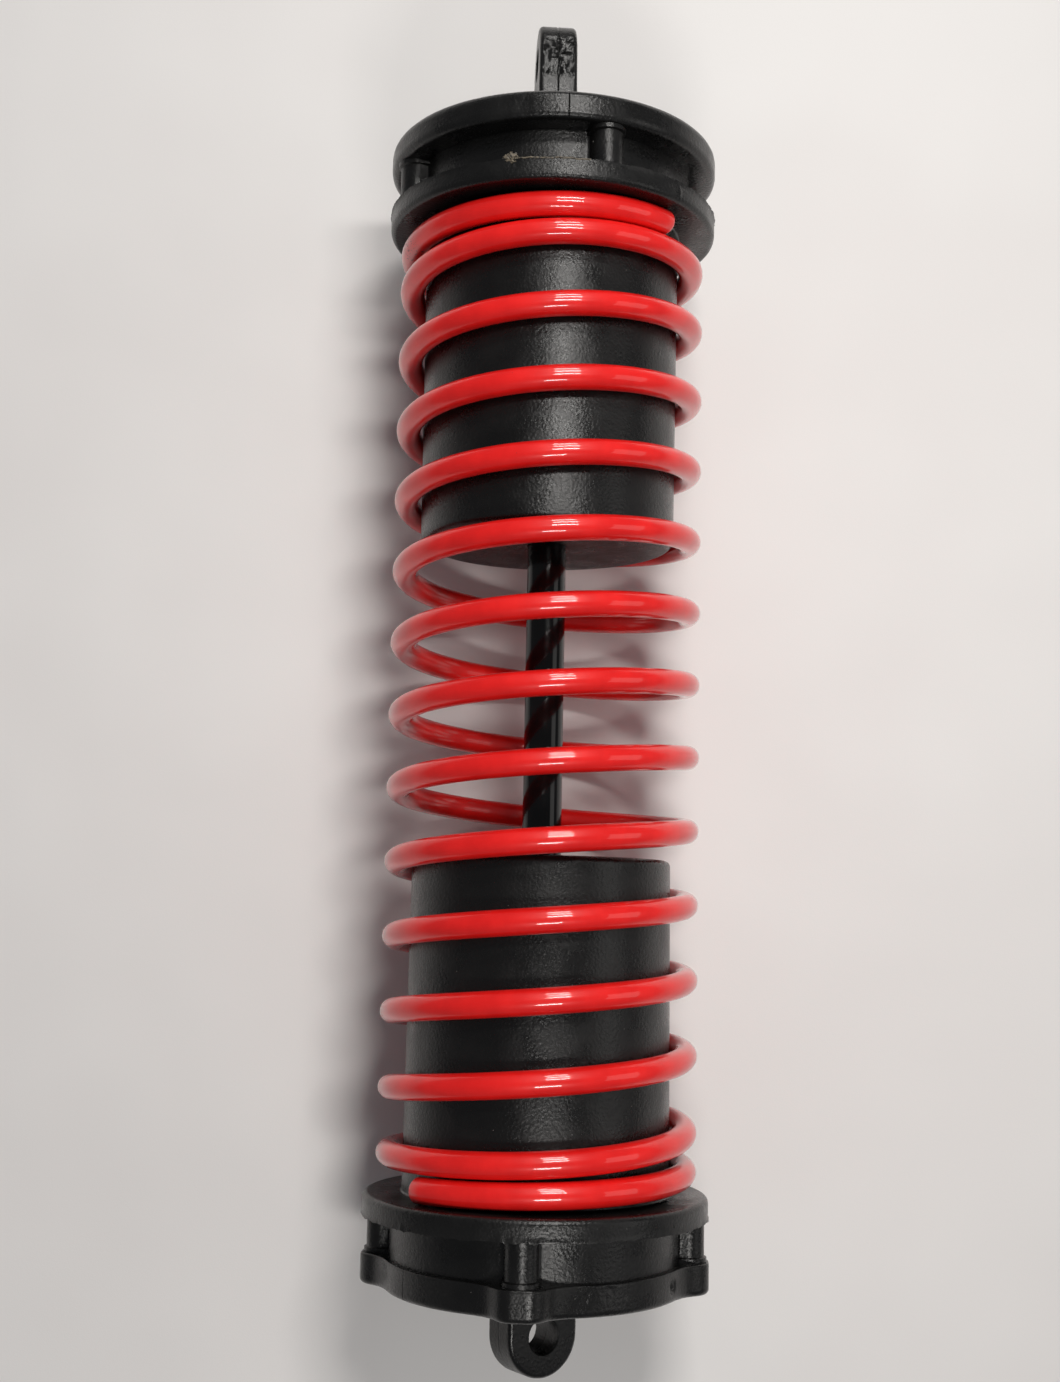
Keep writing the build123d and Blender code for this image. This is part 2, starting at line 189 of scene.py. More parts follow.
class Workpiece:
    """A mesh in the making, in millimetres, that bmesh operators shape."""

    def __init__(self) -> None:
        """Starts with nothing."""
        self.bm = bmesh.new()

    def outline(self, points: Sequence[tuple[float, float]]) -> None:
        """Draws an outline in the plane of X and Z, closed unless both its ends lie on X.

        Args:
            points: The station and radius of each corner, in order.
        """
        corners = [self.bm.verts.new((x, 0.0, r)) for x, r in points]
        on_axis = points[0][1] == 0.0 and points[-1][1] == 0.0
        for first, second in zip(corners, corners[1:] if on_axis else corners[1:] + corners[:1]):
            self.bm.edges.new((first, second))

    def lathe(self, points: Sequence[tuple[float, float]], steps: int) -> None:
        """Turns a closed outline about X into a ring-shaped solid.

        Args:
            points: The station and radius of each corner, in order.
            steps: How many faces go round.
        """
        self.outline(points)
        bmesh.ops.spin(
            self.bm,
            geom=self.bm.verts[:] + self.bm.edges[:],
            cent=(0.0, 0.0, 0.0),
            axis=X_AXIS,
            angle=math.tau,
            steps=steps,
            use_merge=True,
        )
        self.face_out()

    def face_out(self) -> None:
        """Merges doubles and turns every face outwards."""
        bmesh.ops.remove_doubles(self.bm, verts=self.bm.verts[:], dist=1e-4)
        bmesh.ops.recalc_face_normals(self.bm, faces=self.bm.faces[:])

    def soften(self, edges: Iterable[bmesh.types.BMEdge], size: float, segments: int) -> None:
        """Rounds edges.

        Args:
            edges: The edges.
            size: The width of the rounding.
            segments: How many faces it has across.
        """
        bmesh.ops.bevel(
            self.bm,
            geom=list(edges),
            offset=size,
            offset_type="OFFSET",
            segments=segments,
            profile=0.5,
            affect="EDGES",
            clamp_overlap=True,
            material=-1,
        )

    def ring(self, station: float, radius: float) -> list[bmesh.types.BMEdge]:
        """The edges of the circle about X with one station and radius."""
        return [
            edge
            for edge in self.bm.edges
            if all(abs(v.co.x - station) < 1e-3 and abs(radius_of(v.co) - radius) < 2e-3 for v in edge.verts)
        ]

    def slice(self, origin: Vector, normal: Vector) -> None:
        """Cuts an edge loop where a plane crosses the mesh."""
        bmesh.ops.bisect_plane(
            self.bm,
            geom=self.bm.verts[:] + self.bm.edges[:] + self.bm.faces[:],
            dist=1e-5,
            plane_co=origin,
            plane_no=normal,
        )

    def groove(
        self, normal: Vector, width: float, depth: float, keep: Callable[[Vector], bool]
    ) -> None:
        """Cuts the fine line that a mould's split leaves, in a plane through the origin.

        Args:
            normal: The plane's normal.
            width: The line's width.
            depth: How deep it is.
            keep: Says whether the line shows at a point.
        """
        for shift in (-width / 2.0, 0.0, width / 2.0):
            self.slice(normal * shift, normal)
        self.bm.normal_update()
        line = [v for v in self.bm.verts if abs(v.co.dot(normal)) < 1e-4 and keep(v.co)]
        moves = [(v, v.normal * (depth * (0.75 + 0.5 * ragged(v.co, 1.7)))) for v in line]
        for vertex, move in moves:
            vertex.co -= move

    def combine(self, other: "Workpiece", how: Join) -> None:
        """Adds or cuts away another solid.

        Args:
            other: The other solid, which is used up.
            how: Whether it is added or cut away.
        """
        objects = []
        for piece in (self, other):
            mesh = bpy.data.meshes.new("solid")
            piece.bm.to_mesh(mesh)
            piece.bm.free()
            solid = bpy.data.objects.new("solid", mesh)
            bpy.context.scene.collection.objects.link(solid)
            objects.append(solid)
        modifier = objects[0].modifiers.new("combine", "BOOLEAN")
        modifier.object = objects[1]
        modifier.operation = how.value
        modifier.solver = "MANIFOLD"
        bpy.context.view_layer.update()
        solved = objects[0].evaluated_get(bpy.context.evaluated_depsgraph_get())
        result = bpy.data.meshes.new_from_object(solved)
        self.bm = bmesh.new()
        self.bm.from_mesh(result)
        bpy.data.meshes.remove(result)
        for solid in objects:
            mesh = solid.data
            bpy.data.objects.remove(solid)
            bpy.data.meshes.remove(mesh)
        bmesh.ops.remove_doubles(self.bm, verts=self.bm.verts[:], dist=1e-6)

    def finish(
        self, name: str, crease: float = 32.0, even_flats: bool = True, plain_at: float | None = None
    ) -> bpy.types.Object:
        """Makes the object, in metres.

        Args:
            name: The piece's name.
            crease: The angle in degrees past which an edge stays sharp.
            even_flats: Whether flat faces keep their own normals beside roundings.
            plain_at: The station of a wide face that is shaded as a plain flat.

        Returns:
            The object, at the origin.
        """
        plain = {
            face
            for face in self.bm.faces
            if plain_at is not None and all(abs(v.co.x - plain_at) < 1e-3 for v in face.verts)
        }
        bmesh.ops.scale(self.bm, vec=(MM, MM, MM), verts=self.bm.verts[:])
        self.bm.normal_update()
        for face in self.bm.faces:
            face.smooth = face not in plain
        for edge in self.bm.edges:
            edge.smooth = edge.calc_face_angle(0.0) < math.radians(crease)
        mesh = bpy.data.meshes.new(name)
        self.bm.to_mesh(mesh)
        self.bm.free()
        piece = bpy.data.objects.new(name, mesh)
        bpy.context.scene.collection.objects.link(piece)
        if even_flats:
            modifier = piece.modifiers.new("even_flats", "WEIGHTED_NORMAL")
            modifier.keep_sharp = True
        return piece


# -------------------- shader bench --------------------


class Strand:
    """A node's output socket, with the arithmetic that shader maths needs."""

    def __init__(self, bench: "ShaderBench", socket: bpy.types.NodeSocket) -> None:
        """Wraps a socket.

        Args:
            bench: The bench that the socket's node stands on.
            socket: The output socket.
        """
        self.bench = bench
        self.socket = socket

    def maths(self, operation: str, *values: Any) -> "Strand":
        """One Math node on these values."""
        return self.bench.make("ShaderNodeMath", {"operation": operation}, dict(enumerate(values)))

    def __add__(self, other: Any) -> "Strand":
        """self + other."""
        return self.maths("ADD", self, other)

    def __radd__(self, other: Any) -> "Strand":
        """other + self."""
        return self.maths("ADD", other, self)

    def __sub__(self, other: Any) -> "Strand":
        """self - other."""
        return self.maths("SUBTRACT", self, other)

    def __rsub__(self, other: Any) -> "Strand":
        """other - self."""
        return self.maths("SUBTRACT", other, self)

    def __mul__(self, other: Any) -> "Strand":
        """self * other."""
        return self.maths("MULTIPLY", self, other)

    def __rmul__(self, other: Any) -> "Strand":
        """other * self."""
        return self.maths("MULTIPLY", other, self)

    def below(self, limit: float) -> "Strand":
        """1 where self is less than the limit, otherwise 0."""
        return self.maths("LESS_THAN", self, limit)

    def eased(self, low: float, high: float, start: float = 0.0, end: float = 1.0) -> "Strand":
        """A smooth step from start, where self is low, to end, where it is high."""
        return self.bench.make(
            "ShaderNodeMapRange",
            {"interpolation_type": "SMOOTHSTEP"},
            {"Value": self, "From Min": low, "From Max": high, "To Min": start, "To Max": end},
        )


Triple = tuple[float, float, float]
Colour = Triple


class ShaderBench:
    """One material's nodes, all made by one method."""

    def __init__(self, name: str) -> None:
        """Starts a material with nothing but its output.

        Args:
            name: The material's name.
        """
        self.material = bpy.data.materials.new(name)
        self.material.use_nodes = True
        self.tree = self.material.node_tree
        self.tree.nodes.clear()

    def make(
        self,
        kind: str,
        settings: dict[str, Any] | None = None,
        inputs: dict[str | int, Any] | None = None,
        output: str | int = 0,
    ) -> Strand:
        """Makes one node.

        Args:
            kind: The node's type.
            settings: Its settings, set before its sockets. stops are a ramp's positions and colours.
            inputs: Values or strands for its input sockets, by name or place.
            output: The output socket that is wanted, by name or place.

        Returns:
            That output.
        """
        node = self.tree.nodes.new(kind)
        for key, value in (settings or {}).items():
            if key == "stops":
                elements = node.color_ramp.elements
                while len(elements) < len(value):
                    elements.new(0.5)
                for element, (place, colour) in zip(elements, value):
                    element.position = place
                    element.color = (*colour, 1.0)
            else:
                setattr(node, key, value)
        for key, value in (inputs or {}).items():
            socket = node.inputs[key]
            if isinstance(value, Strand):
                self.tree.links.new(value.socket, socket)
            elif isinstance(value, tuple) and len(value) == 3 and socket.type == "RGBA":
                socket.default_value = (*value, 1.0)
            else:
                socket.default_value = value
        return Strand(self, node.outputs[output] if len(node.outputs) else None)

    def place(self, stretch: Triple = (1.0, 1.0, 1.0), centre: Triple = (0.0, 0.0, 0.0)) -> Strand:
        """Object coordinates in millimetres, moved to a centre and stretched."""
        point = self.make("ShaderNodeTexCoord", output="Object")
        scale = tuple(1.0 / (MM * amount) for amount in stretch)
        shift = tuple(-value * factor * MM for value, factor in zip(centre, scale))
        return self.make("ShaderNodeMapping", inputs={"Vector": point, "Scale": scale, "Location": shift})

    def lumps(
        self, size: float, detail: float = 3.0, at: Strand | None = None, rough: float = 0.55
    ) -> Strand:
        """Noise from 0 to 1 whose lumps are size millimetres across."""
        return self.make(
            "ShaderNodeTexNoise",
            {"noise_dimensions": "3D"},
            {"Vector": at or self.place(), "Scale": 1.0 / size, "Detail": detail, "Roughness": rough},
        )

    def grains(self, size: float, output: str = "Distance") -> Strand:
        """Cells that are size millimetres across: the distance to their middles, or a Color each."""
        inputs = {"Vector": self.place(), "Scale": 1.0 / size}
        return self.make("ShaderNodeTexVoronoi", {"feature": "F1"}, inputs, output)

    def specks(self, spacing: float, size: float, share: float) -> Strand:
        """Small round specks at random.

        Args:
            spacing: The size of the cells that each hold one speck or none.
            size: A speck's radius.
            share: The share of the cells that hold a speck.

        Returns:
            1 on a speck, otherwise 0.
        """
        near = self.grains(spacing).eased(size / spacing * 0.7, size / spacing, 1.0, 0.0)
        lot = self.make("ShaderNodeSeparateColor", inputs={0: self.grains(spacing, "Color")})
        return near * lot.below(share)

    def blend(self, share: Any, first: Any, second: Any) -> Strand:
        """A colour between two, by a share from 0 to 1."""
        return self.make(
            "ShaderNodeMix",
            {"data_type": "RGBA", "blend_type": "MIX"},
            {0: share, 6: first, 7: second},
            2,
        )

    def relief(self, height: Strand, depth: float, under: Strand | None = None) -> Strand:
        """A normal that follows a height from 0 to 1, depth millimetres deep."""
        inputs: dict[str | int, Any] = {"Height": height, "Distance": depth * MM, "Strength": 1.0}
        if under:
            inputs["Normal"] = under
        return self.make("ShaderNodeBump", inputs=inputs)

    def finish(self, **sockets: Any) -> bpy.types.Material:
        """Ends with a Principled surface.

        Args:
            sockets: Values or strands by socket name, with _ for a space.

        Returns:
            The material.
        """
        inputs = {key.replace("_", " "): value for key, value in sockets.items()}
        surface = self.make("ShaderNodeBsdfPrincipled", inputs=inputs)
        self.make("ShaderNodeOutputMaterial", inputs={"Surface": surface})
        return self.material


@dataclass(frozen=True)
class MouldedPlastic:
    """Black plastic from a spark-eroded mould.

    Attributes:
        name: The material's name.
        colour: Its colour.
        grain: How wide the mould's grain is.
        relief: How deep the grain is.
        gloss: The roughness where it is smoothest and where it is dullest.
        dust: The share of the cells of dust that hold a speck.
    """

    name: str
    colour: Colour = (0.0040, 0.0039, 0.0038)
    grain: float = 0.65
    relief: float = 0.13
    gloss: tuple[float, float] = (0.25, 0.37)
    dust: float = 0.10

    def make(self) -> bpy.types.Material:
        """Makes the material."""
        bench = ShaderBench(self.name)
        fine = bench.lumps(self.grain, 4.0, rough=0.65)
        spark = bench.grains(self.grain * 1.3)
        cloud = bench.lumps(9.0, 3.0)
        patch = bench.lumps(28.0, 2.0)
        dust = bench.specks(5.5, 0.20, self.dust)
        lint = bench.specks(2.6, 0.10, self.dust * 2.0)
        dirt = dust.maths("MINIMUM", dust + lint * 0.6, 1.0)
        worn = cloud.eased(0.35, 0.7)
        body = bench.blend(worn, self.colour, tuple(c * 1.4 for c in self.colour))
        body = bench.blend(patch.eased(0.4, 0.75) * 0.5, body, tuple(c * 1.8 for c in self.colour))
        body = bench.blend(dirt, body, (0.42, 0.40, 0.37))
        smooth, dull = self.gloss
        rough = worn * (dull - smooth) + smooth + (fine - 0.5) * 0.18 + dirt * 0.3
        height = fine * 0.65 + spark * 0.35
        normal = bench.relief(height, self.relief)
        normal = bench.relief(dirt, 0.05, normal)
        return bench.finish(
            Base_Color=body, Roughness=rough, Normal=normal, IOR=1.5, Specular_IOR_Level=0.40
        )


@dataclass(frozen=True)
class BakedPaint:
    """Thick gloss red paint on the spring's wire.

    Attributes:
        name: The material's name.
        colour: Its colour.
        deep: Its colour where it is thickest.
        scuff: Where the next coil has scuffed it.
    """

    name: str
    colour: Colour = (0.80, 0.0115, 0.0098)
    deep: Colour = (0.70, 0.0085, 0.0075)
    scuff: Triple = (272.5, 36.0, 12.0)

    def make(self) -> bpy.types.Material:
        """Makes the material."""
        bench = ShaderBench(self.name)
        flow = bench.lumps(7.0, 3.0)
        peel = bench.lumps(1.4, 2.0)
        fine = bench.lumps(0.35, 3.0)
        drawn = bench.lumps(0.8, 3.0, bench.place(stretch=(0.35, 3.0, 3.0)))
        chips = bench.specks(4.0, 0.14, 0.05)
        body = bench.blend(flow.eased(0.3, 0.75), self.deep, self.colour)
        body = bench.blend(drawn.eased(0.55, 0.8) * 0.16, body, (0.80, 0.035, 0.04))
        near = bench.place(stretch=(4.0, 5.5, 6.5), centre=self.scuff)
        away = bench.make("ShaderNodeVectorMath", {"operation": "LENGTH"}, {0: near}, "Value")
        inside = away.eased(0.6, 1.0, 1.0, 0.0)
        lines = bench.lumps(0.55, 2.0, bench.place(stretch=(0.35, 6.0, 2.0))).eased(0.60, 0.66)
        scuffed = inside * lines
        body = bench.blend(scuffed, body, (0.03, 0.008, 0.008))
        body = bench.blend(chips * 0.7, body, (0.30, 0.02, 0.02))
        rough = flow * 0.12 + 0.30 + scuffed * 0.3
        normal = bench.relief(peel * 0.8 + fine * 0.2, 0.007)
        normal = bench.relief(1.0 - scuffed, 0.05, normal)
        return bench.finish(
            Base_Color=body,
            Roughness=rough,
            Normal=normal,
            Coat_Weight=1.0 - scuffed * 0.7,
            Coat_Roughness=0.038,
            Coat_IOR=1.45,
            Specular_IOR_Level=0.25,
        )


@dataclass(frozen=True)
class BlackLacquer:
    """Gloss black lacquer over ground steel."""

    name: str

    def make(self) -> bpy.types.Material:
        """Makes the material."""
        bench = ShaderBench(self.name)
        wipe = bench.lumps(0.5, 3.0, bench.place(stretch=(12.0, 1.0, 1.0)))
        smear = bench.lumps(6.0, 3.0)
        dust = bench.specks(3.0, 0.08, 0.10)
        body = bench.blend(smear.eased(0.4, 0.8), (0.0022, 0.0022, 0.0024), (0.0045, 0.0042, 0.0042))
        body = bench.blend(dust, body, (0.30, 0.28, 0.26))
        rough = smear * 0.08 + 0.06 + wipe * 0.05
        normal = bench.relief(wipe, 0.003)
        return bench.finish(
            Base_Color=body,
            Roughness=rough,
            Normal=normal,
            Specular_IOR_Level=0.22,
            Coat_Weight=0.25,
            Coat_Roughness=0.04,
        )


@dataclass(frozen=True)
class PlatedSteel:
    """Zinc-plated or bright steel, turned or pressed.

    Attributes:
        name: The material's name.
        colour: Its colour.
        dull: Its roughness.
    """

    name: str
    colour: Colour = (0.60, 0.60, 0.58)
    dull: float = 0.32

    def make(self) -> bpy.types.Material:
        """Makes the material."""
        bench = ShaderBench(self.name)
        stain = bench.lumps(2.5, 4.0)
        scratch = bench.lumps(0.25, 3.0, bench.place(stretch=(1.0, 7.0, 1.0)))
        dark = tuple(c * 0.55 for c in self.colour)
        body = bench.blend(stain.eased(0.35, 0.75), self.colour, dark)
        rough = stain * 0.2 + self.dull - 0.1 + scratch * 0.08
        normal = bench.relief(scratch, 0.006)
        return bench.finish(Base_Color=body, Roughness=rough, Normal=normal, Metallic=1.0)


@dataclass(frozen=True)
class SoftMoulding:
    """Acetal or rubber with a fine skin.

    Attributes:
        name: The material's name.
        colour: Its colour.
        dull: Its roughness.
    """

    name: str
    colour: Colour
    dull: float

    def make(self) -> bpy.types.Material:
        """Makes the material."""
        bench = ShaderBench(self.name)
        skin = bench.lumps(0.3, 3.0)
        tone = bench.lumps(4.0, 3.0)
        body = bench.blend(tone.eased(0.3, 0.8), self.colour, tuple(c * 0.75 for c in self.colour))
        return bench.finish(
            Base_Color=body, Roughness=tone * 0.15 + self.dull - 0.07, Normal=bench.relief(skin, 0.01)
        )


@dataclass(frozen=True)
class TornPlasticWithPaintedHighlight:
    """The pale broken stub that a mould's gate leaves, and a painted highlight: the same pale colour on the
    sliver of flash beside the stub stands in for the light that the flash line catches.
    """

    name: str

    def make(self) -> bpy.types.Material:
        """Makes the material."""
        bench = ShaderBench(self.name)
        tear_and_highlight = bench.lumps(0.5, 4.0)
        # Pale patches: real torn plastic on the gate's stub, and a painted highlight along the flash sliver.
        body = bench.blend(tear_and_highlight.eased(0.36, 0.56), (0.012, 0.011, 0.010), (0.14, 0.115, 0.08))
        return bench.finish(
            Base_Color=body, Roughness=tear_and_highlight * 0.3 + 0.35, Normal=bench.relief(tear_and_highlight, 0.15)
        )


@dataclass(frozen=True)
class PaperFloor:
    """Plain white paper."""

    name: str

    def make(self) -> bpy.types.Material:
        """Makes the material."""
        bench = ShaderBench(self.name)
        fibre = bench.lumps(0.4, 3.0)
        wave = bench.lumps(90.0, 2.0)
        tone = bench.blend(wave.eased(0.3, 0.7), (0.775, 0.755, 0.745), (0.80, 0.785, 0.775))
        normal = bench.relief(wave, 2.2, bench.relief(fibre, 0.02))
        return bench.finish(
            Base_Color=tone, Roughness=fibre * 0.1 + 0.72, Normal=normal, Specular_IOR_Level=0.25
        )


# -------------------- sub-assemblies --------------------


Outline = Callable[[float, float], float]


def soft_least(first: float, second: float, blend: float) -> float:
    """The lesser of two distances, rounded over where they are close."""
    near = max(blend - abs(first - second), 0.0) / blend
    return min(first, second) - near * near * blend / 4.0


@dataclass(frozen=True)
class Rosette:
    """A circle with four equal features round it, which flow into it.

    Attributes:
        core: The circle's radius.
        blend: How far the features flow into the circle.
        feature: The signed distance to a feature on the +x side, from x and y.
        limit: A radius past every feature.
    """

    core: float
    blend: float
    feature: Outline
    limit: float

    def radius(self, offset: float) -> float:
        """The outline's radius at a turn from the middle of a feature.

        Args:
            offset: The turn in degrees, from -45 to 45.

        Returns:
            The greatest radius that is still inside.
        """
        angle = math.radians(offset)
        c, s = math.cos(angle), math.sin(angle)

        def outside(r: float) -> bool:
            """Whether a radius lies outside the outline."""
            return soft_least(r - self.core, self.feature(r * c, r * s), self.blend) > 0.0

        reach = self.limit
        while outside(reach) and reach > self.core:
            reach -= 0.1
        low, high = reach, reach + 0.1
        for _ in range(12):
            middle = (low + high) / 2.0
            low, high = (low, middle) if outside(middle) else (middle, high)
        return low

    def even(self, count: int) -> list[tuple[float, float]]:
        """Turns and radii of one quarter, evenly spaced along the outline.

        Args:
            count: How many.

        Returns:
            The turn from the feature's middle, and the radius there, from -45 degrees up.
        """
        fine = 900
        turns = [-45.0 + 90.0 * i / fine for i in range(fine + 1)]
        radii = [self.radius(abs(turn)) for turn in turns]
        run = [0.0]
        for i in range(fine):
            step = math.radians(turns[i + 1] - turns[i]) * radii[i]
            run.append(run[-1] + math.hypot(step, radii[i + 1] - radii[i]))
        samples, i = [], 0
        for k in range(count):
            goal = run[-1] * k / count
            while run[i + 1] < goal:
                i += 1
            share = (goal - run[i]) / (run[i + 1] - run[i])
            turn = turns[i] + share * (turns[i + 1] - turns[i])
            samples.append((turn, radii[i] + share * (radii[i + 1] - radii[i])))
        return samples


def round_post(standoff: float, radius: float) -> Outline:
    """The signed distance to a round post beside the axis."""
    return lambda x, y: math.hypot(x - standoff, y) - radius


def square_ear(start: float, end: float, width: float, corner: float) -> Outline:
    """The signed distance to an ear with rounded corners that stands out from the axis."""

    def distance(x: float, y: float) -> float:
        """How far outside the ear a point lies."""
        across_x = abs(x - (start + end) / 2.0) - (end - start) / 2.0 + corner
        across_y = abs(y) - width / 2.0 + corner
        beyond = math.hypot(max(across_x, 0.0), max(across_y, 0.0))
        return beyond + min(max(across_x, across_y), 0.0) - corner

    return distance


@dataclass
class GuideCup:
    """One moulded guide cup: a long cup, a spring seat flange, a neck and four screw columns.

    Attributes:
        name: The piece's name.
        node: The CAD node that it stands for; not used.
        tip: The station of the cup's closed end.
        away: 1 where the neck lies at higher X than the tip, otherwise -1.
        column_turn: The turn of the first column.
        hub: The inside outline from the end wall to the bore, as distance from the tip and radius.
        blemishes: Small faults on its flange and neck.
    """

    name: str
    node: str
    tip: float
    away: int
    column_turn: float
    hub: Sequence[tuple[float, float]]
    blemishes: Sequence[Blemish] = ()
    length: float = 82.4
    root_r: float = 33.3
    tip_r: float = 32.8
    wall: float = 2.6
    end_wall: float = 4.0
    tip_round: float = 1.6
    flange_r: float = 43.2
    flange_thickness: float = 5.0
    flange_round: float = 1.4
    flash: float = 0.3
    neck_r: float = 36.0
    neck_wall: float = 3.0
    neck_length: float = 10.5
    column_r: float = 4.0
    column_circle_r: float = 38.0
    collar_r: float = 4.6
    collar_height: float = 1.2
    steps: int = 640

    def outline(self) -> list[tuple[float, float]]:
        """The whole section, as distance from the tip and radius."""
        back = self.length + self.flange_thickness
        joint = back + self.neck_length
        face_r = self.flange_r - self.flash
        return [
            (0.0, self.tip_r),
            (self.length, self.root_r),
            (self.length, face_r),
            (back - 0.35, face_r),
            (back, self.flange_r),
            (back + 0.02, face_r - 0.7),
            (back, self.neck_r),
            (joint - self.collar_height - 0.15, self.neck_r),
            (joint - self.collar_height + 0.15, self.neck_r),
            (joint, self.neck_r),
            (joint, self.neck_r - self.neck_wall),
            (back, self.neck_r - self.neck_wall),
            (self.length, self.root_r - self.wall),
            (self.end_wall, self.tip_r - self.wall),
            *self.hub,
        ]

    def build(self) -> bpy.types.Object:
        """Builds the cup.

        Returns:
            The finished piece.
        """
        work = Workpiece()
        work.lathe(self.outline(), self.steps)
        back = self.length + self.flange_thickness
        joint = back + self.neck_length
        work.soften(work.ring(0.0, self.tip_r), self.tip_round, 6)
        work.soften(work.ring(self.length, self.flange_r - self.flash), self.flange_round, 5)
        work.soften(work.ring(self.length, self.root_r), 0.6, 3)
        work.soften(work.ring(back, self.neck_r), 0.5, 2)
        work.soften(work.ring(0.0, self.hub[-1][1]), 0.35, 2)
        flange_rows = [self.length + row for row in (2.2, 3.0, 3.8)]
        for station in flange_rows + [back + row for row in (2.5, 5.0, 7.5)]:
            work.slice(X_AXIS * station, X_AXIS)
        column = Rosette(self.neck_r, 1.3, round_post(self.column_circle_r, self.column_r), 44.0)
        collar = Rosette(self.neck_r, 0.8, round_post(self.column_circle_r, self.collar_r), 44.0)
        quarter = column.even(self.steps // 4)
        for vertex in work.bm.verts:
            self.shape(vertex, quarter, collar, back, joint)
        bmesh.ops.recalc_face_normals(work.bm, faces=work.bm.faces[:])
        return work.finish(self.name)

    def shape(
        self,
        vertex: bmesh.types.BMVert,
        quarter: Sequence[tuple[float, float]],
        collar: Rosette,
        back: float,
        joint: float,
    ) -> None:
        """Moves one vertex of the turned blank to its place on the moulding.

        Args:
            vertex: The vertex, with its distance from the tip along X.
            quarter: The turns and neck radii of one quarter.
            collar: The outline at the collars.
            back: The distance from the tip to the flange's back.
            joint: The distance from the tip to the cap.
        """
        u, radius = vertex.co.x, radius_of(vertex.co)
        index = round(turn_of(vertex.co) * self.steps / 360.0) % self.steps
        corner, place = divmod(index, self.steps // 4)
        offset, neck = quarter[place]
        turn = self.column_turn + QUARTER * corner + offset
        if u > back - 0.01 and self.neck_r - 0.4 < radius < self.neck_r + 0.9:
            if u > joint - self.collar_height:
                neck = max(neck, collar.radius(abs(offset)))
            radius += neck - self.neck_r
        direction = across(turn)
        station = self.tip + self.away * u
        point = Vector((station, 0.0, 0.0)) + direction * radius
        if abs(u - back) < 0.04 and radius > self.flange_r - 0.1:
            torn = max(ragged(point, 2.4) + 0.6 * ragged(point, 0.7), -0.6)
            radius += min(torn * 0.35, 0.0) - 0.05
            station += self.away * (0.12 + 0.5 * max(torn, 0.0))
        if radius > self.neck_r - 0.2 and u > self.length + 0.5:
            limit = self.flange_r - 0.01
            pushed = radius + sum(fault.push(point) for fault in self.blemishes)
            radius = min(pushed, max(limit, radius))
        vertex.co = Vector((station, 0.0, 0.0)) + direction * radius


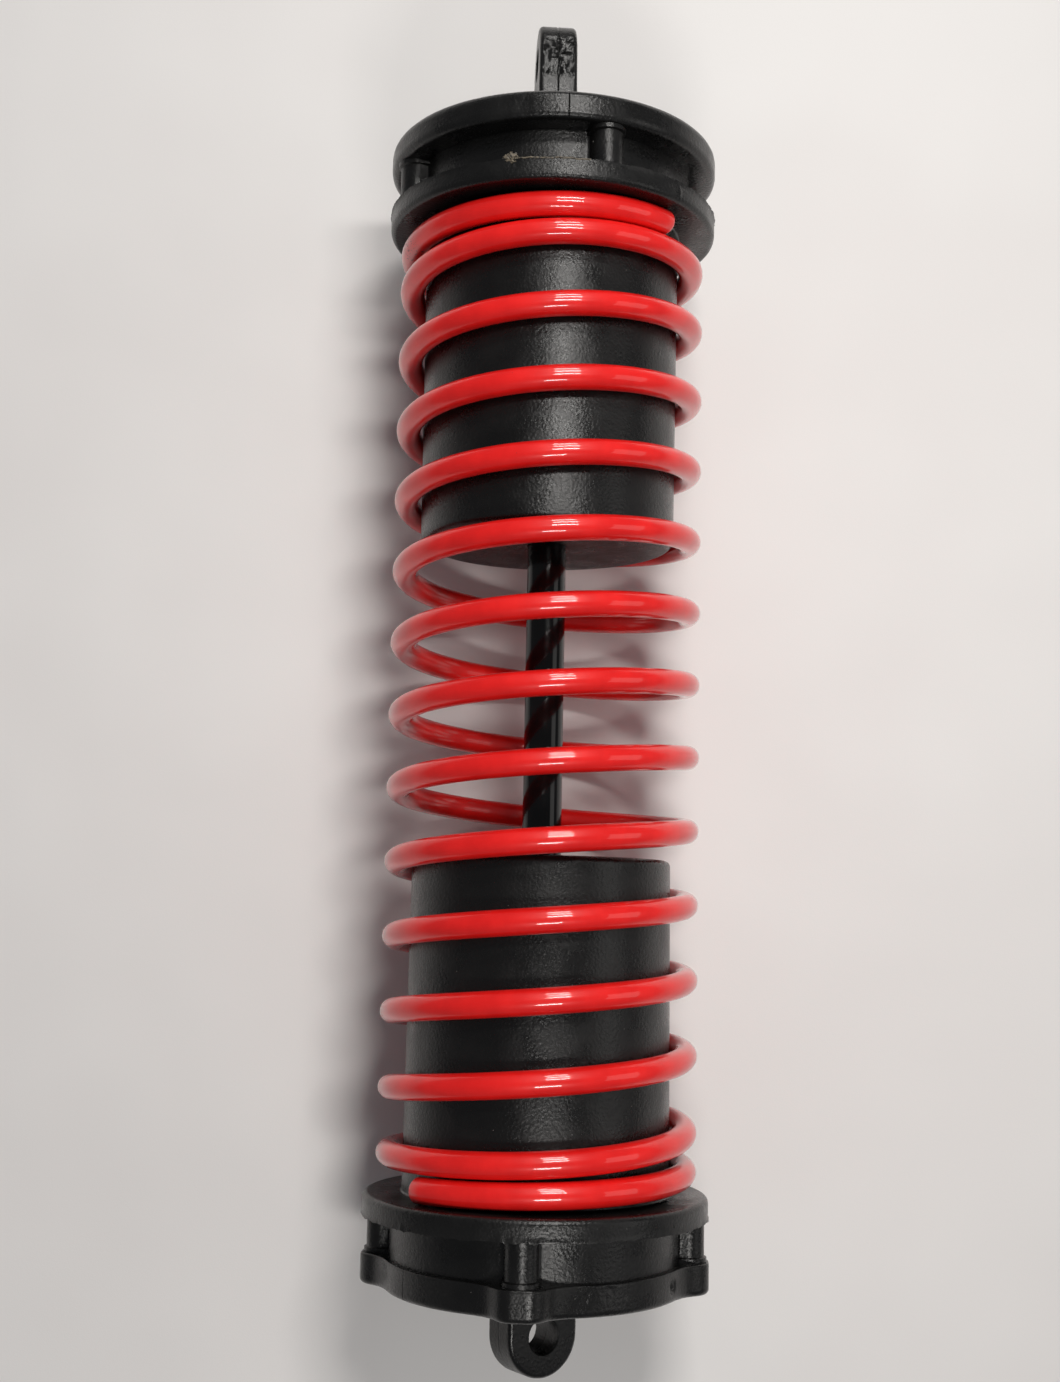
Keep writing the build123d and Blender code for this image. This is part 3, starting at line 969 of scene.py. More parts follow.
@dataclass
class EyeLug:
    """A flat lug with a round end about a bolt hole.

    Attributes:
        eye: The hole's station.
        face: The station of the cap's outer face.
        away: 1 where the eye lies at higher X than the cap, otherwise -1.
        turn: The turn of the hole's axis.
        rough: Where the gate's rough marks start, from the eye towards the cap, and where they end.
        rough_depth: How deep the marks are.
        rows: How many faces the lug has across its thickness.
    """

    eye: float
    face: float
    away: int
    turn: float
    rough: tuple[float, float]
    rough_depth: float = 0.0
    width: float = 20.0
    thickness: float = 10.0
    hole_r: float = 4.25
    edge_round: float = 1.1
    hole_round: float = 0.35
    root: float = 3.0
    flare: float = 1.0
    flare_height: float = 2.5
    draft: float = 0.018
    sides: int = 224
    rows: int = 22

    def outline(self, index: int) -> tuple[float, float]:
        """A point of the outline, from the eye, along towards the cap and across.

        Args:
            index: The point's place in the round.

        Returns:
            Its distance along and across.
        """
        reach = abs(self.eye - self.face) + self.root
        half = self.width / 2.0
        arc = self.sides // 2
        side = (self.sides - arc) // 2 - 6
        if index <= arc:
            angle = math.pi * index / arc
            return -half * math.sin(angle), half * math.cos(angle)
        index -= arc
        if index <= side:
            return reach * index / side, -half
        index -= side
        base = self.sides - arc - 2 * side
        if index < base:
            return reach, -half + self.width * index / base
        index -= base
        return reach * (1.0 - index / side), half

    def build(self) -> Workpiece:
        """Builds the lug, with its root inside the cap.

        Returns:
            The lug, not yet joined to the cap.
        """
        work = Workpiece()
        bm = work.bm
        bmesh.ops.create_circle(bm, cap_ends=False, segments=self.sides, radius=self.hole_r)
        order = sorted(bm.verts, key=lambda v: math.atan2(v.co.y, v.co.x) % math.tau)
        for index, vertex in enumerate(order):
            angle = math.pi / 2.0 + math.tau * index / self.sides
            vertex.co = Vector((math.cos(angle), math.sin(angle), 0.0)) * self.hole_r
        grown = bmesh.ops.extrude_edge_only(bm, edges=bm.edges[:])["geom"]
        for vertex in added_verts(grown):
            angle = (math.atan2(vertex.co.y, vertex.co.x) - math.pi / 2.0) % math.tau
            along, sideways = self.outline(round(angle * self.sides / math.tau) % self.sides)
            vertex.co = Vector((along, sideways, 0.0))
        lifted = added_verts(bmesh.ops.extrude_face_region(bm, geom=bm.faces[:])["geom"])
        bmesh.ops.translate(bm, vec=(0.0, 0.0, self.thickness), verts=lifted)
        bmesh.ops.translate(bm, vec=(0.0, 0.0, -self.thickness / 2.0), verts=bm.verts[:])
        work.face_out()
        work.soften(self.rims(bm), self.edge_round, 4)
        self.form(work)
        side, normal = across(self.turn + QUARTER), across(self.turn)
        place = frame_of(X_AXIS * -self.away, side, normal, X_AXIS * self.eye)
        bmesh.ops.transform(bm, matrix=place, verts=bm.verts[:])
        bmesh.ops.recalc_face_normals(bm, faces=bm.faces[:])
        return work

    def rims(self, bm: bmesh.types.BMesh) -> list[bmesh.types.BMEdge]:
        """The edges round the outside of both faces, but not at the root."""
        half = self.thickness / 2.0
        root = abs(self.eye - self.face) + self.root
        rims = []
        for edge in bm.edges:
            first, second = (v.co for v in edge.verts)
            on_face = abs(abs(first.z) - half) < 1e-3 and abs(first.z - second.z) < 1e-3
            at_hole = math.hypot(first.x, first.y) < self.hole_r + 0.3
            at_root = min(first.x, second.x) > root - 0.01
            if on_face and not at_hole and not at_root and edge.calc_face_angle(0.0) > 1.0:
                rims.append(edge)
        return rims

    def form(self, work: Workpiece) -> None:
        """Gives the lug its draft, its flare at the root and the gate's rough marks."""
        reach = abs(self.eye - self.face)
        for short in (2.51, 1.71, 1.11, 0.61, 0.26, -0.37):
            work.slice(X_AXIS * (reach - short), X_AXIS)
        levels = [self.thickness * (row / self.rows - 0.5) for row in range(1, self.rows)]
        half = self.thickness / 2.0
        for level in levels + [self.hole_round - half, half - self.hole_round]:
            work.slice(Z_AXIS * level, Z_AXIS)
        work.bm.normal_update()
        moves = [(vertex, self.move(vertex, reach)) for vertex in work.bm.verts]
        for vertex, move in moves:
            vertex.co += move

    def move(self, vertex: bmesh.types.BMVert, reach: float) -> Vector:
        """How far one vertex moves to give the lug its form.

        Args:
            vertex: The vertex, in the lug's own axes.
            reach: The distance from the eye to the cap.

        Returns:
            The move.
        """
        point = vertex.co
        half = self.thickness / 2.0
        grow = self.flare * max(0.0, (point.x - reach + self.flare_height) / self.flare_height) ** 2
        grow = min(grow, self.flare * 1.3)
        move = Vector((0.0, 0.0, 0.0))
        from_eye = math.hypot(point.x, point.y)
        if from_eye < self.hole_r + 0.05 and abs(point.z) > half - 0.01:
            move += Vector((point.x, point.y, 0.0)) * (self.hole_round / from_eye)
        if abs(point.y) > self.width / 2.0 - self.edge_round - 0.01:
            move.y = math.copysign(grow, point.y)
        if abs(point.z) > half - self.edge_round - 0.01:
            move.z = math.copysign(grow, point.z)
        move.z += point.z * self.draft * point.x / 10.0
        outside = math.hypot(min(point.x, 0.0), point.y) > self.width / 2.0 - 0.02
        if outside and abs(point.z) < half - 1.0 and self.rough_depth:
            start, end = self.rough
            inside = ease(start - 1.0, start + 0.5, point.x) * (1.0 - ease(end - 1.5, end, point.x))
            torn = ragged(point, 1.9, 3.0) + 0.7 * ragged(point, 0.9, 5.0)
            move += vertex.normal * (inside * self.rough_depth * min(torn - 0.1, 0.12))
        return move


@dataclass
class EndCap:
    """One end cap: a plate with a spigot, an eye lug and four screw holes.

    Attributes:
        name: The piece's name.
        node: The CAD node that it stands for; not used.
        joint: The station of the face on the cup's neck.
        away: 1 where the cap lies at higher X than its cup, otherwise -1.
        column_turn: The turn of the first screw.
        lug: The eye lug.
        edge: The plate's outline about the first screw.
        rim_round: The rounding of the outer face's rim.
        inner_round: The rounding of the inner face's rim.
        groove_depth: How deep the mould's split line is.
        blemishes: Small faults on its rim.
        rows: How many faces its edge has along X.
        grid: How far apart the cuts lie that divide its wide faces.
    """

    name: str
    node: str
    joint: float
    away: int
    column_turn: float
    lug: EyeLug
    edge: Rosette
    rim_round: float
    inner_round: float
    groove_depth: float
    blemishes: Sequence[Blemish] = ()
    thickness: float = 7.5
    spigot_r: float = 32.85
    spigot_wall: float = 2.0
    spigot_height: float = 4.0
    screw_circle_r: float = 38.0
    shank_r: float = 1.8
    head_r: float = 3.65
    head_depth: float = 3.0
    groove_width: float = 0.5
    groove_start: float = 0.4
    steps: int = 640
    rows: int = 10
    grid: float = 8.5

    def plate(self) -> Workpiece:
        """The plate, with its rims rounded."""
        work = Workpiece()
        bm = work.bm
        turned = upright(Vector((0.0, 0.0, 0.0)))
        bmesh.ops.create_circle(bm, cap_ends=True, segments=self.steps, radius=10.0, matrix=turned)
        samples = self.edge.even(self.steps // 4)
        for vertex in bm.verts:
            index = round(turn_of(vertex.co) * self.steps / 360.0) % self.steps
            corner, place = divmod(index, self.steps // 4)
            offset, radius = samples[place]
            direction = across(self.column_turn + QUARTER * corner + offset)
            vertex.co = X_AXIS * self.joint + direction * radius
        lifted = added_verts(bmesh.ops.extrude_face_region(bm, geom=bm.faces[:])["geom"])
        bmesh.ops.translate(bm, vec=X_AXIS * (self.away * self.thickness), verts=lifted)
        work.face_out()
        face = self.joint + self.away * self.thickness
        work.soften(self.level(bm, face), self.rim_round, 5)
        work.soften(self.level(bm, self.joint), self.inner_round, 4)
        for row in range(1, self.rows):
            work.slice(X_AXIS * (self.joint + self.away * self.thickness * row / self.rows), X_AXIS)
        for row in range(-4, 5):
            for normal in (Y_AXIS, Z_AXIS):
                work.slice(normal * (row * self.grid), normal)
        work.bm.normal_update()
        for vertex in bm.verts:
            if radius_of(vertex.co) > 36.0:
                vertex.co += vertex.normal * sum(fault.push(vertex.co) for fault in self.blemishes)
        return work

    @staticmethod
    def level(bm: bmesh.types.BMesh, station: float) -> list[bmesh.types.BMEdge]:
        """The edges that lie at one station."""
        return [edge for edge in bm.edges if all(abs(v.co.x - station) < 1e-4 for v in edge.verts)]

    def drill(self, radius: float, start: float, end: float) -> Workpiece:
        """Four round cutters at the screws' places, between two stations."""
        work = Workpiece()
        for corner in range(4):
            place = X_AXIS * ((start + end) / 2.0)
            place += across(self.column_turn + QUARTER * corner) * self.screw_circle_r
            bmesh.ops.create_cone(
                work.bm,
                cap_ends=True,
                segments=48,
                radius1=radius,
                radius2=radius,
                depth=abs(end - start),
                matrix=upright(place),
            )
        work.face_out()
        return work

    def build(self) -> bpy.types.Object:
        """Builds the cap.

        Returns:
            The finished piece.
        """
        work = self.plate()
        spigot = Workpiece()
        inside = self.spigot_r - self.spigot_wall
        low, high = self.joint + self.away * 0.5, self.joint - self.away * self.spigot_height
        spigot.lathe([(low, self.spigot_r), (high, self.spigot_r), (high, inside), (low, inside)], 192)
        spigot.soften(spigot.ring(high, self.spigot_r), 0.5, 2)
        work.combine(spigot, Join.ADD)
        work.combine(self.lug.build(), Join.ADD)
        face = self.joint + self.away * self.thickness
        floor = face - self.away * self.head_depth
        work.combine(self.drill(self.head_r, floor, face + self.away), Join.CUT)
        shanks = self.drill(self.shank_r, self.joint - self.away, floor + self.away * 0.1)
        work.combine(shanks, Join.CUT)
        if self.groove_depth:
            outer = self.joint + self.away * self.groove_start
            work.groove(
                across(self.lug.turn),
                self.groove_width,
                self.groove_depth,
                lambda point: (point.x - outer) * self.away > 0.0 and radius_of(point) > 0.0,
            )
        return work.finish(self.name, crease=38.0, plain_at=face)


@dataclass
class CapScrews:
    """The four pan-head screws of one cap.

    Attributes:
        name: The piece's name.
        node: The CAD node that they stand for; not used.
        seat: The station of the counterbores' floor.
        away: 1 where the heads face higher X, otherwise -1.
        column_turn: The turn of the first screw.
    """

    name: str
    node: str
    seat: float
    away: int
    column_turn: float
    circle_r: float = 38.0
    shank_r: float = 1.75
    length: float = 15.0
    head_r: float = 3.3
    head_height: float = 2.4
    recess_span: float = 4.0
    recess_width: float = 1.0
    recess_depth: float = 1.3
    thread: float = 1.2

    def one(self) -> Workpiece:
        """One screw at the origin, with its head at higher X."""
        work = Workpiece()
        rows = [(-self.length, 0.0), (-self.length + 1.6, self.shank_r - 0.45)]
        turns = int((self.length - 4.0) / self.thread)
        for turn in range(turns):
            start = -self.length + 1.7 + turn * self.thread
            rows += [(start, self.shank_r - 0.45), (start + self.thread * 0.5, self.shank_r)]
        rows += [(0.0, self.shank_r - 0.2), (0.0, self.head_r), (self.head_height * 0.45, self.head_r)]
        rows += [(self.head_height * 0.85, self.head_r * 0.72), (self.head_height, self.head_r * 0.3)]
        rows += [(self.head_height, 0.0)]
        work.lathe(rows, 40)
        bmesh.ops.dissolve_degenerate(work.bm, dist=1e-4, edges=work.bm.edges[:])
        work.face_out()
        for quarter in (0.0, QUARTER):
            slot = Workpiece()
            turned = Matrix.Rotation(math.radians(quarter), 4, "X")
            size = Matrix.Diagonal((self.recess_depth * 2.0, self.recess_span, self.recess_width, 1.0))
            place = Matrix.Translation((self.head_height, 0.0, 0.0)) @ turned @ size
            bmesh.ops.create_cube(slot.bm, size=1.0, matrix=place)
            for vertex in slot.bm.verts:
                if vertex.co.x < self.head_height:
                    vertex.co = Vector((vertex.co.x, vertex.co.y * 0.6, vertex.co.z * 0.6))
            slot.face_out()
            work.combine(slot, Join.CUT)
        return work

    def build(self) -> bpy.types.Object:
        """Builds the four screws as one piece.

        Returns:
            The finished piece.
        """
        whole = Workpiece()
        pattern = bpy.data.meshes.new("pattern")
        screw = self.one()
        screw.bm.to_mesh(pattern)
        screw.bm.free()
        for corner in range(4):
            turn = self.column_turn + QUARTER * corner
            before = set(whole.bm.verts)
            whole.bm.from_mesh(pattern)
            added = [v for v in whole.bm.verts if v not in before]
            spin = Matrix.Rotation(math.radians(37.0 * corner + 11.0), 4, "X")
            flip = Matrix.Identity(4) if self.away > 0 else Matrix.Rotation(math.pi, 4, "Z")
            place = X_AXIS * self.seat + across(turn) * self.circle_r
            bmesh.ops.transform(whole.bm, matrix=Matrix.Translation(place) @ flip @ spin, verts=added)
        bpy.data.meshes.remove(pattern)
        return whole.finish(self.name, crease=40.0)


@dataclass
class CoilSpring:
    """The painted spring, with closed ends.

    Attributes:
        name: The piece's name.
        node: The CAD node that it stands for; not used.
        first: The station of the wire's middle where it starts.
    """

    name: str
    node: str
    first: float
    wire_r: float = 3.2
    mean_r: float = 36.8
    start_turn: float = -50.0
    closed_turn: float = 410.0
    closed_pitch: float = 6.75
    active_turn: float = 4320.0
    active_pitch: float = 18.68
    easing: float = 40.0
    step: float = 5.0
    sides: int = 32

    def pitch(self, turn: float) -> float:
        """The pitch at a turn, counted from the wire's start."""
        opening = ease(self.closed_turn - self.easing, self.closed_turn + self.easing, turn)
        last = self.closed_turn + self.active_turn
        closing = ease(last - self.easing, last + self.easing, turn)
        return self.closed_pitch + (self.active_pitch - self.closed_pitch) * (opening - closing)

    def build(self) -> bpy.types.Object:
        """Winds the wire.

        Returns:
            The finished piece.
        """
        work = Workpiece()
        bm = work.bm
        radial = across(self.start_turn)
        centre = X_AXIS * self.first + radial * self.mean_r
        place = frame_of(X_AXIS, radial, X_AXIS.cross(radial), centre)
        bmesh.ops.create_circle(bm, cap_ends=True, segments=self.sides, radius=self.wire_r, matrix=place)
        start_face = bm.faces[:]
        section: list[Any] = bm.edges[:] + bm.verts[:]
        bmesh.ops.delete(bm, geom=start_face, context="FACES_ONLY")
        count = round((2.0 * self.closed_turn + self.active_turn) / self.step)
        index = 0
        while index < count:
            pitch = self.pitch((index + 0.5) * self.step)
            run = 1
            while index + run < count and abs(self.pitch((index + run + 0.5) * self.step) - pitch) < 1e-6:
                run += 1
            result = bmesh.ops.spin(
                bm,
                geom=section,
                cent=(0.0, 0.0, 0.0),
                axis=X_AXIS,
                dvec=(pitch * self.step / 360.0, 0.0, 0.0),
                angle=math.radians(self.step * run),
                steps=run,
            )
            section = [item for item in result["geom_last"] if not isinstance(item, bmesh.types.BMFace)]
            index += run
        ends = [edge for edge in bm.edges if edge.is_boundary]
        bmesh.ops.holes_fill(bm, edges=ends, sides=0)
        work.face_out()
        flats = [face for face in bm.faces if len(face.verts) > 6]
        flats.sort(key=lambda face: face.calc_center_median().x)
        bottom, top = flats[0].edges[:], flats[-1].edges[:]
        work.soften(bottom, 0.35, 2)
        work.soften([edge for edge in top if edge.is_valid], 1.3, 4)
        return work.finish(self.name, crease=50.0, even_flats=False)


@dataclass
class SlideRod:
    """The thin rod between the cups, turned down for its stop at the lower end.

    Attributes:
        name: The piece's name.
        node: The CAD node that it stands for; not used.
        low: The station of its lower end.
        shoulder: The station where the full size starts.
        high: The station of its upper end.
        pin: The station of the cross hole.
    """

    name: str
    node: str
    low: float
    shoulder: float
    high: float
    pin: float
    radius: float = 5.0
    thread_r: float = 4.0
    chamfer: float = 0.8
    pin_r: float = 2.01

    def build(self) -> bpy.types.Object:
        """Turns the rod.

        Returns:
            The finished piece.
        """
        work = Workpiece()
        rows = [
            (self.low, 0.0),
            (self.low, self.thread_r),
            (self.shoulder, self.thread_r),
            (self.shoulder, self.radius),
            (self.high, self.radius),
            (self.high, 0.0),
        ]
        work.lathe(rows, 96)
        bmesh.ops.dissolve_degenerate(work.bm, dist=1e-4, edges=work.bm.edges[:])
        work.face_out()
        work.soften(work.ring(self.low, self.thread_r), self.chamfer, 1)
        work.soften(work.ring(self.high, self.radius), self.chamfer, 1)
        hole = Workpiece()
        bmesh.ops.create_cone(
            hole.bm,
            cap_ends=True,
            segments=32,
            radius1=self.pin_r,
            radius2=self.pin_r,
            depth=14.0,
            matrix=Matrix.Translation(X_AXIS * self.pin),
        )
        hole.face_out()
        work.combine(hole, Join.CUT)
        return work.finish(self.name)


@dataclass
class GateStub:
    """The torn stub that a mould's gate left on a flange's edge, with the sliver of flash beside it.

    Attributes:
        name: The piece's name.
        station: Its station.
        turn: Its turn about X.
        radius: How far from X its middle lies.
        size: Its radius.
        sliver: How many degrees the flash runs on from the stub.
        sliver_r: The flash's radius before it is torn.
        edge_r: How far from X the flash lies.
    """

    name: str
    station: float
    turn: float
    radius: float
    size: float
    sliver: float
    sliver_r: float = 0.18
    edge_r: float = 43.02

    def build(self) -> bpy.types.Object:
        """Tears the stub.

        Returns:
            The finished piece.
        """
        work = Workpiece()
        place = Matrix.Translation(X_AXIS * self.station + across(self.turn) * self.radius)
        bmesh.ops.create_icosphere(work.bm, subdivisions=4, radius=self.size)
        for vertex in work.bm.verts:
            out = vertex.co.normalized()
            torn = ragged(out, 0.45, 7.0) + 0.5 * ragged(out, 0.18, 2.0)
            vertex.co = vertex.co * (0.78 + 0.5 * torn)
        bmesh.ops.scale(work.bm, vec=(1.0, 1.15, 0.55), verts=work.bm.verts[:])
        for matrix in (Matrix.Rotation(math.radians(self.turn), 4, "X"), place):
            bmesh.ops.transform(work.bm, matrix=matrix, verts=work.bm.verts[:])
        self.flash(work)
        return work.finish(self.name, crease=60.0, even_flats=False)

    def flash(self, work: Workpiece) -> None:
        """Adds the sliver of flash, ragged and thin, along the flange's edge."""
        bm = work.bm
        before = set(bm.verts)
        radial = across(self.turn)
        centre = X_AXIS * (self.station - 0.1) + radial * self.edge_r
        place = frame_of(X_AXIS, radial, X_AXIS.cross(radial), centre)
        bmesh.ops.create_circle(bm, cap_ends=True, segments=8, radius=self.sliver_r, matrix=place)
        section = [v for v in bm.verts if v not in before]
        edges = list({edge for vertex in section for edge in vertex.link_edges})
        bmesh.ops.delete(bm, geom=list(section[0].link_faces), context="FACES_ONLY")
        bmesh.ops.spin(
            bm,
            geom=section + edges,
            cent=(0.0, 0.0, 0.0),
            axis=X_AXIS,
            angle=math.radians(self.sliver),
            steps=round(self.sliver * 3.0),
        )
        bmesh.ops.holes_fill(bm, edges=[edge for edge in bm.edges if edge.is_boundary], sides=0)
        for vertex in (v for v in bm.verts if v not in before):
            torn = ragged(vertex.co, 1.6, 4.0) + 0.5 * ragged(vertex.co, 0.5, 9.0)
            vertex.co.x += 0.22 * torn
            vertex.co += across(turn_of(vertex.co)) * min(0.16 * torn, 0.1)
        bmesh.ops.recalc_face_normals(bm, faces=bm.faces[:])


# -------------------- studio --------------------


@dataclass(frozen=True)
class Panel:
    """A rectangular light that hangs over the strut.

    Attributes:
        name: The light's name.
        place: Its middle.
        aim: The point that it faces.
        size: Its length along X and along Y.
        glow: Its radiance.
        colour: Its colour.
    """

    name: str
    place: Triple
    aim: Triple
    size: tuple[float, float]
    glow: float
    colour: Colour = (1.0, 0.975, 0.94)

    def hang(self) -> None:
        """Hangs the light."""
        light = bpy.data.lights.new(self.name, "AREA")
        light.shape = "RECTANGLE"
        light.size, light.size_y = (side * MM for side in self.size)
        light.energy = self.glow * math.pi * light.size * light.size_y
        light.color = self.colour
        lamp = bpy.data.objects.new(self.name, light)
        bpy.context.scene.collection.objects.link(lamp)
        place, aim = Vector(self.place), Vector(self.aim)
        back = (place - aim).normalized()
        side = Y_AXIS.cross(back).normalized()
        rotation = Matrix((side, back.cross(side), back)).transposed()
        lamp.matrix_world = Matrix.Translation(place * MM) @ rotation.to_4x4()


@dataclass(frozen=True)
class Studio:
    """The floor, the lights and the camera.

    Attributes:
        floor_level: The floor's height.
        panels: The lights.
        ambient: The colour of the light from all round.
        ambient_strength: Its strength.
        lens: The camera's focal length for a sensor 36 mm wide.
        camera_place: Where the camera is.
        camera_tilt: Its turns about its own axes, in radians.
    """

    floor_level: float
    panels: Sequence[Panel]
    ambient: Colour = (0.93, 0.95, 1.0)
    ambient_strength: float = 0.155
    lens: float = 46.37
    camera_place: Triple = (101.3, 13.32, 455.7)
    camera_tilt: Triple = (0.1267, -0.0238, 0.0222)

    def floor(self) -> None:
        """Lays the paper that the strut lies on."""
        work = Workpiece()
        place = Matrix.Translation((164.0, 0.0, self.floor_level))
        bmesh.ops.create_grid(work.bm, x_segments=24, y_segments=24, size=2500.0, matrix=place)
        sheet = work.finish("paper_floor", even_flats=False)
        sheet.data.materials.append(PaperFloor("white_paper").make())
        sheet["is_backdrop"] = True

    def camera(self) -> None:
        """Sets up the camera over the strut."""
        data = bpy.data.cameras.new("camera")
        data.lens = self.lens
        data.sensor_width = 36.0
        data.clip_start = 0.01
        data.clip_end = 20.0
        viewer = bpy.data.objects.new("camera", data)
        bpy.context.scene.collection.objects.link(viewer)
        over = Matrix(((0.0, 1.0, 0.0), (-1.0, 0.0, 0.0), (0.0, 0.0, 1.0)))
        tilt, roll, turn = self.camera_tilt
        rotation = (
            over
            @ Matrix.Rotation(turn, 3, "Z")
            @ Matrix.Rotation(tilt, 3, "X")
            @ Matrix.Rotation(roll, 3, "Y")
        )
        viewer.matrix_world = Matrix.Translation(Vector(self.camera_place) * MM) @ rotation.to_4x4()
        bpy.context.scene.camera = viewer

    def set_up(self) -> None:
        """Sets up everything round the strut."""
        self.floor()
        self.camera()
        for panel in self.panels:
            panel.hang()
        world = bpy.data.worlds.new("room")
        bpy.context.scene.world = world
        world.use_nodes = True
        background = world.node_tree.nodes["Background"]
        background.inputs["Color"].default_value = (*self.ambient, 1.0)
        background.inputs["Strength"].default_value = self.ambient_strength
        view = bpy.context.scene.view_settings
        view.view_transform = "Standard"
        view.look = "None"
        view.exposure = 0.0
        view.gamma = 1.0


# -------------------- main --------------------


def box_mm(node: str) -> tuple[Vector, Vector]:
    """A CAD node's lowest and highest corners, in millimetres."""
    low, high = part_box(node)
    return low / MM, high / MM


def corners(box: Iterable[Vector]) -> list[list[float]]:
    """A box as plain lists of numbers."""
    return [[float(value) for value in corner] for corner in box]


def dress(piece: bpy.types.Object, material: bpy.types.Material) -> None:
    """Gives a piece one material all over."""
    piece.data.materials.clear()
    piece.data.materials.append(material)


def fit(
    piece: bpy.types.Object, body: str, nodes: Sequence[str], material: bpy.types.Material
) -> None:
    """Dresses a piece and ties it to the frame.

    Args:
        piece: The piece.
        body: The CAD body that it rides on.
        nodes: The CAD nodes that it stands for.
        material: Its material.
    """
    dress(piece, material)
    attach(piece, body)
    if nodes:
        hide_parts(*nodes)
    log.info("%s: %d faces, rides on %s", piece.name, len(piece.data.polygons), body)


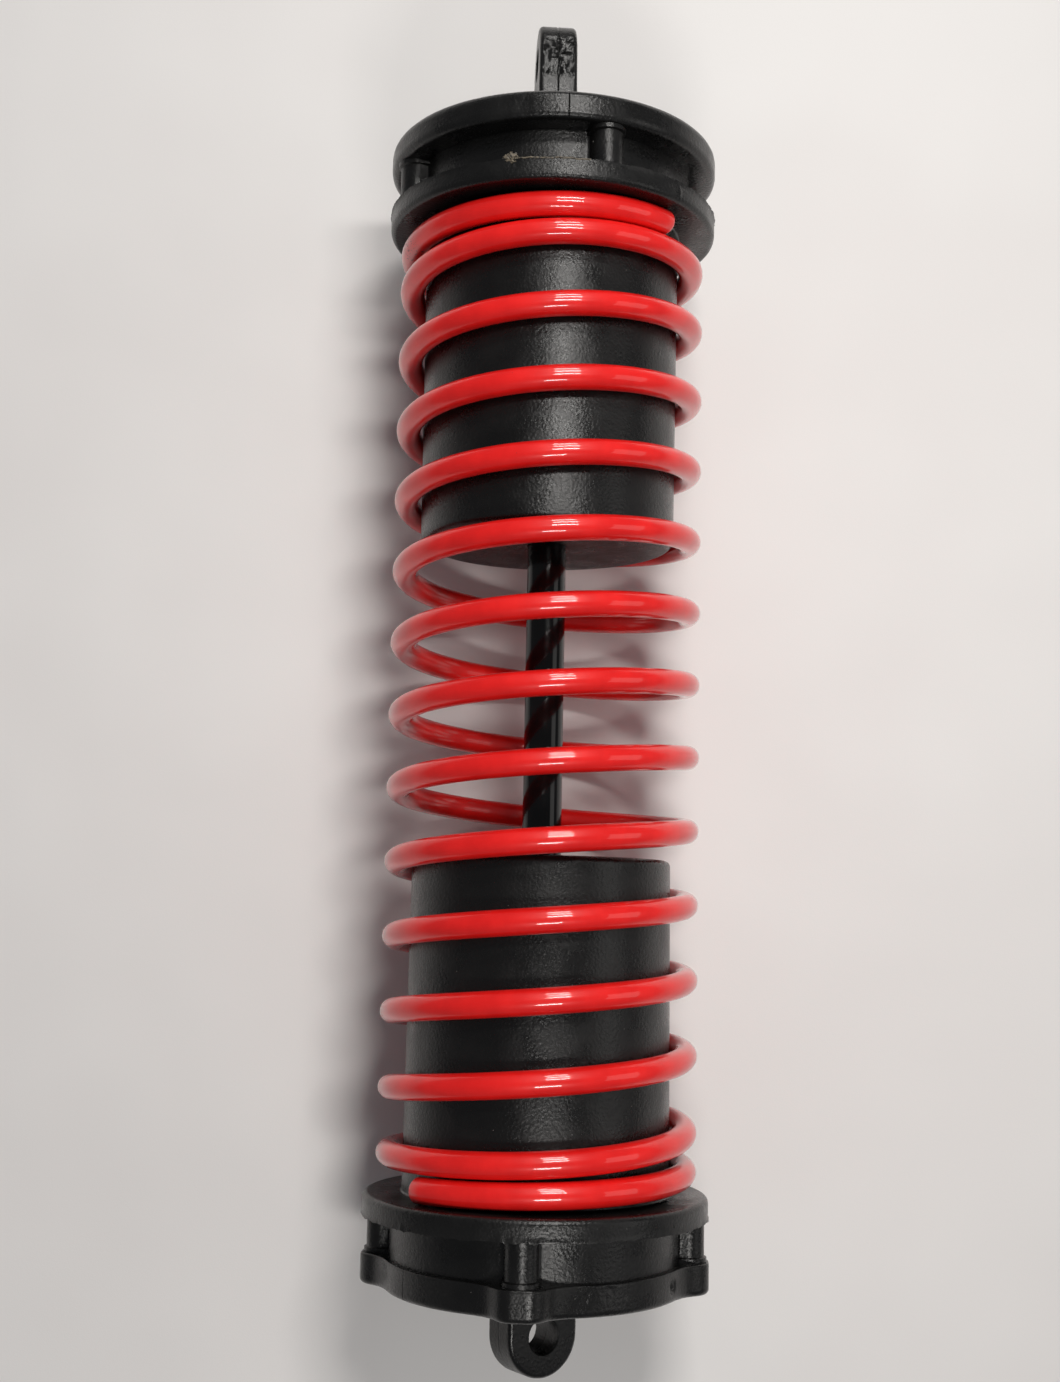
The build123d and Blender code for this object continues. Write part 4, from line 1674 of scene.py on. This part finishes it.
def main() -> None:
    """Builds the strut's looks, then the studio."""
    logging.basicConfig(level=logging.INFO, format="%(message)s")
    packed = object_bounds()
    lower_cup_low, lower_cup_high = box_mm("lower_cup")
    upper_cup_low, upper_cup_high = box_mm("upper_cup")
    spring_low, _ = box_mm("coil_spring")
    rod_low, rod_high = box_mm("guide_rod")
    _, upper_cap_high = box_mm("upper_end_cap")
    _, washer_high = box_mm("stop_washer")
    pin_low, pin_high = box_mm("rod_cross_pin")

    cup_black = MouldedPlastic("cup_black").make()
    cap_black = MouldedPlastic(
        "cap_black", grain=0.65, relief=0.11, gloss=(0.24, 0.36), dust=0.14
    ).make()
    zinc = PlatedSteel("zinc_plate").make()
    steel = PlatedSteel("bright_steel", (0.52, 0.52, 0.53), 0.28).make()

    lower_tip, upper_tip = lower_cup_high.x, upper_cup_low.x
    lower_seat, upper_seat = lower_tip - GuideCup.length, upper_tip + GuideCup.length
    lower_face, upper_face = lower_cup_low.x - EndCap.thickness, upper_cup_high.x + EndCap.thickness
    bush_hub = [
        (4.0, 10.6),
        (13.1, 10.6),
        (13.1, 7.1),
        (11.9, 7.1),
        (11.9, 8.1),
        (10.6, 8.1),
        (10.6, 7.1),
        (1.5, 7.1),
        (1.5, 5.4),
        (0.0, 5.4),
    ]
    pin_hub = [(4.0, 10.6), (24.0, 10.6), (24.0, 5.01), (0.0, 5.01)]
    lower_cup = GuideCup(
        "lower_guide_cup",
        "lower_cup",
        lower_tip,
        -1,
        LOWER_TURN,
        bush_hub,
        (
            Blemish(Mark.LUMP, lower_seat - 4.9, -12.0, 1.0, 0.25),
            Blemish(Mark.LUMP, lower_seat - 4.9, -8.0, 0.7, 0.2),
            Blemish(Mark.LUMP, lower_seat - 4.9, -48.0, 0.9, 0.25),
            Blemish(Mark.ROUGH, lower_seat - 3.0, 40.0, 1.6, 0.2),
        ),
    )
    upper_cup = GuideCup(
        "upper_guide_cup",
        "upper_cup",
        upper_tip,
        1,
        UPPER_TURN,
        pin_hub,
        (
            Blemish(Mark.LUMP, upper_seat + 2.6, 46.0, 0.9, 0.3),
            Blemish(Mark.ROUGH, upper_seat + 3.4, -15.0, 2.4, 0.25),
        ),
    )
    fit(lower_cup.build(), "lower_half", ["lower_cup"], cup_black)
    fit(upper_cup.build(), "upper_half", ["upper_cup"], cup_black)

    lower_cap = EndCap(
        "lower_eye_cap",
        "lower_end_cap",
        lower_cup_low.x,
        -1,
        LOWER_TURN,
        EyeLug(eye=0.0, face=lower_face, away=-1, turn=33.0, rough=(0.0, 1.0)),
        Rosette(core=37.5, blend=9.0, feature=square_ear(30.0, 42.8, 9.4, 3.0), limit=44.0),
        rim_round=1.4,
        inner_round=0.6,
        groove_depth=0.10,
        blemishes=(
            Blemish(Mark.CRATER, lower_cup_low.x - 3.4, 61.0, 2.2, 0.5),
            Blemish(Mark.ROUGH, lower_cup_low.x - 2.6, 17.0, 2.0, 0.35),
            Blemish(Mark.ROUGH, lower_cup_low.x - 2.0, 26.0, 2.4, 0.3),
            Blemish(Mark.LUMP, lower_cup_low.x - 4.4, 34.0, 0.6, 0.2),
        ),
    )
    upper_cap = EndCap(
        "upper_eye_cap",
        "upper_end_cap",
        upper_cup_high.x,
        1,
        UPPER_TURN,
        EyeLug(
            eye=upper_cap_high.x - EyeLug.width / 2.0,
            face=upper_face,
            away=1,
            turn=-87.0,
            rough=(-3.0, 8.0),
            rough_depth=0.8,
        ),
        Rosette(core=43.0, blend=0.5, feature=round_post(38.0, 2.0), limit=44.0),
        rim_round=2.4,
        inner_round=2.0,
        groove_depth=0.28,
        blemishes=(Blemish(Mark.ROUGH, upper_cup_high.x + 3.6, -12.0, 3.0, 0.12),),
    )
    fit(lower_cap.build(), "lower_half", ["lower_end_cap"], cap_black)
    fit(upper_cap.build(), "upper_half", ["upper_end_cap"], cap_black)

    lower_floor, upper_floor = lower_face + EndCap.head_depth, upper_face - EndCap.head_depth
    lower_screws = CapScrews("lower_pan_screws", "lower_cap_screws", lower_floor, -1, LOWER_TURN)
    upper_screws = CapScrews("upper_pan_screws", "upper_cap_screws", upper_floor, 1, UPPER_TURN)
    fit(lower_screws.build(), "lower_half", ["lower_cap_screws"], zinc)
    fit(upper_screws.build(), "upper_half", ["upper_cap_screws"], zinc)

    coil = CoilSpring("painted_coil", "coil_spring", spring_low.x + CoilSpring.wire_r).build()
    fit(coil, "lower_half", ["coil_spring"], BakedPaint("baked_red").make())
    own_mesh(coil)

    pin = (pin_low.x + pin_high.x) / 2.0
    rod = SlideRod("lacquered_rod", "guide_rod", rod_low.x, washer_high.x, rod_high.x, pin)
    fit(rod.build(), "upper_half", ["guide_rod"], BlackLacquer("gloss_lacquer").make())
    gate = GateStub(
        "flange_gate_stub", upper_seat + 5.1, turn=-16.6, radius=42.0, size=2.2, sliver=27.0
    )
    # The pale torn colour is real on the stub; on the flash sliver it is a painted highlight along the
    # flange's edge.
    fit(gate.build(), "upper_half", [], TornPlasticWithPaintedHighlight("torn_gate_and_painted_highlight").make())

    finishes = {
        "rod_guide_bush": SoftMoulding("natural_acetal", (0.72, 0.70, 0.64), 0.4).make(),
        "rebound_bumper": SoftMoulding("bumper_rubber_black", (0.02, 0.02, 0.02), 0.75).make(),
        "bush_retaining_ring": steel,
        "rod_cross_pin": steel,
        "stop_washer": zinc,
        "stop_nut": zinc,
    }
    for node, material in finishes.items():
        dress(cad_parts[node], material)

    middle, foot = (200.0, 0.0, 0.0), (120.0, 0.0, 0.0)
    panels = (
        Panel("bar_far_up", (1000.0, -90.0, 480.0), middle, size=(120.0, 220.0), glow=21.0),
        Panel("bar_up", (560.0, -90.0, 470.0), middle, size=(60.0, 170.0), glow=34.0),
        Panel("bar_over", (318.0, -85.0, 457.0), middle, size=(45.0, 150.0), glow=40.0),
        Panel("bar_low", (-124.0, -60.0, 465.0), foot, size=(60.0, 150.0), glow=31.0),
        Panel("side_wash", (160.0, -1300.0, 750.0), (160.0, 0.0, 0.0), size=(900.0, 700.0), glow=1.0),
    )
    Studio(packed[0].z / MM, panels).set_up()


if __name__ == "__main__":
    main()
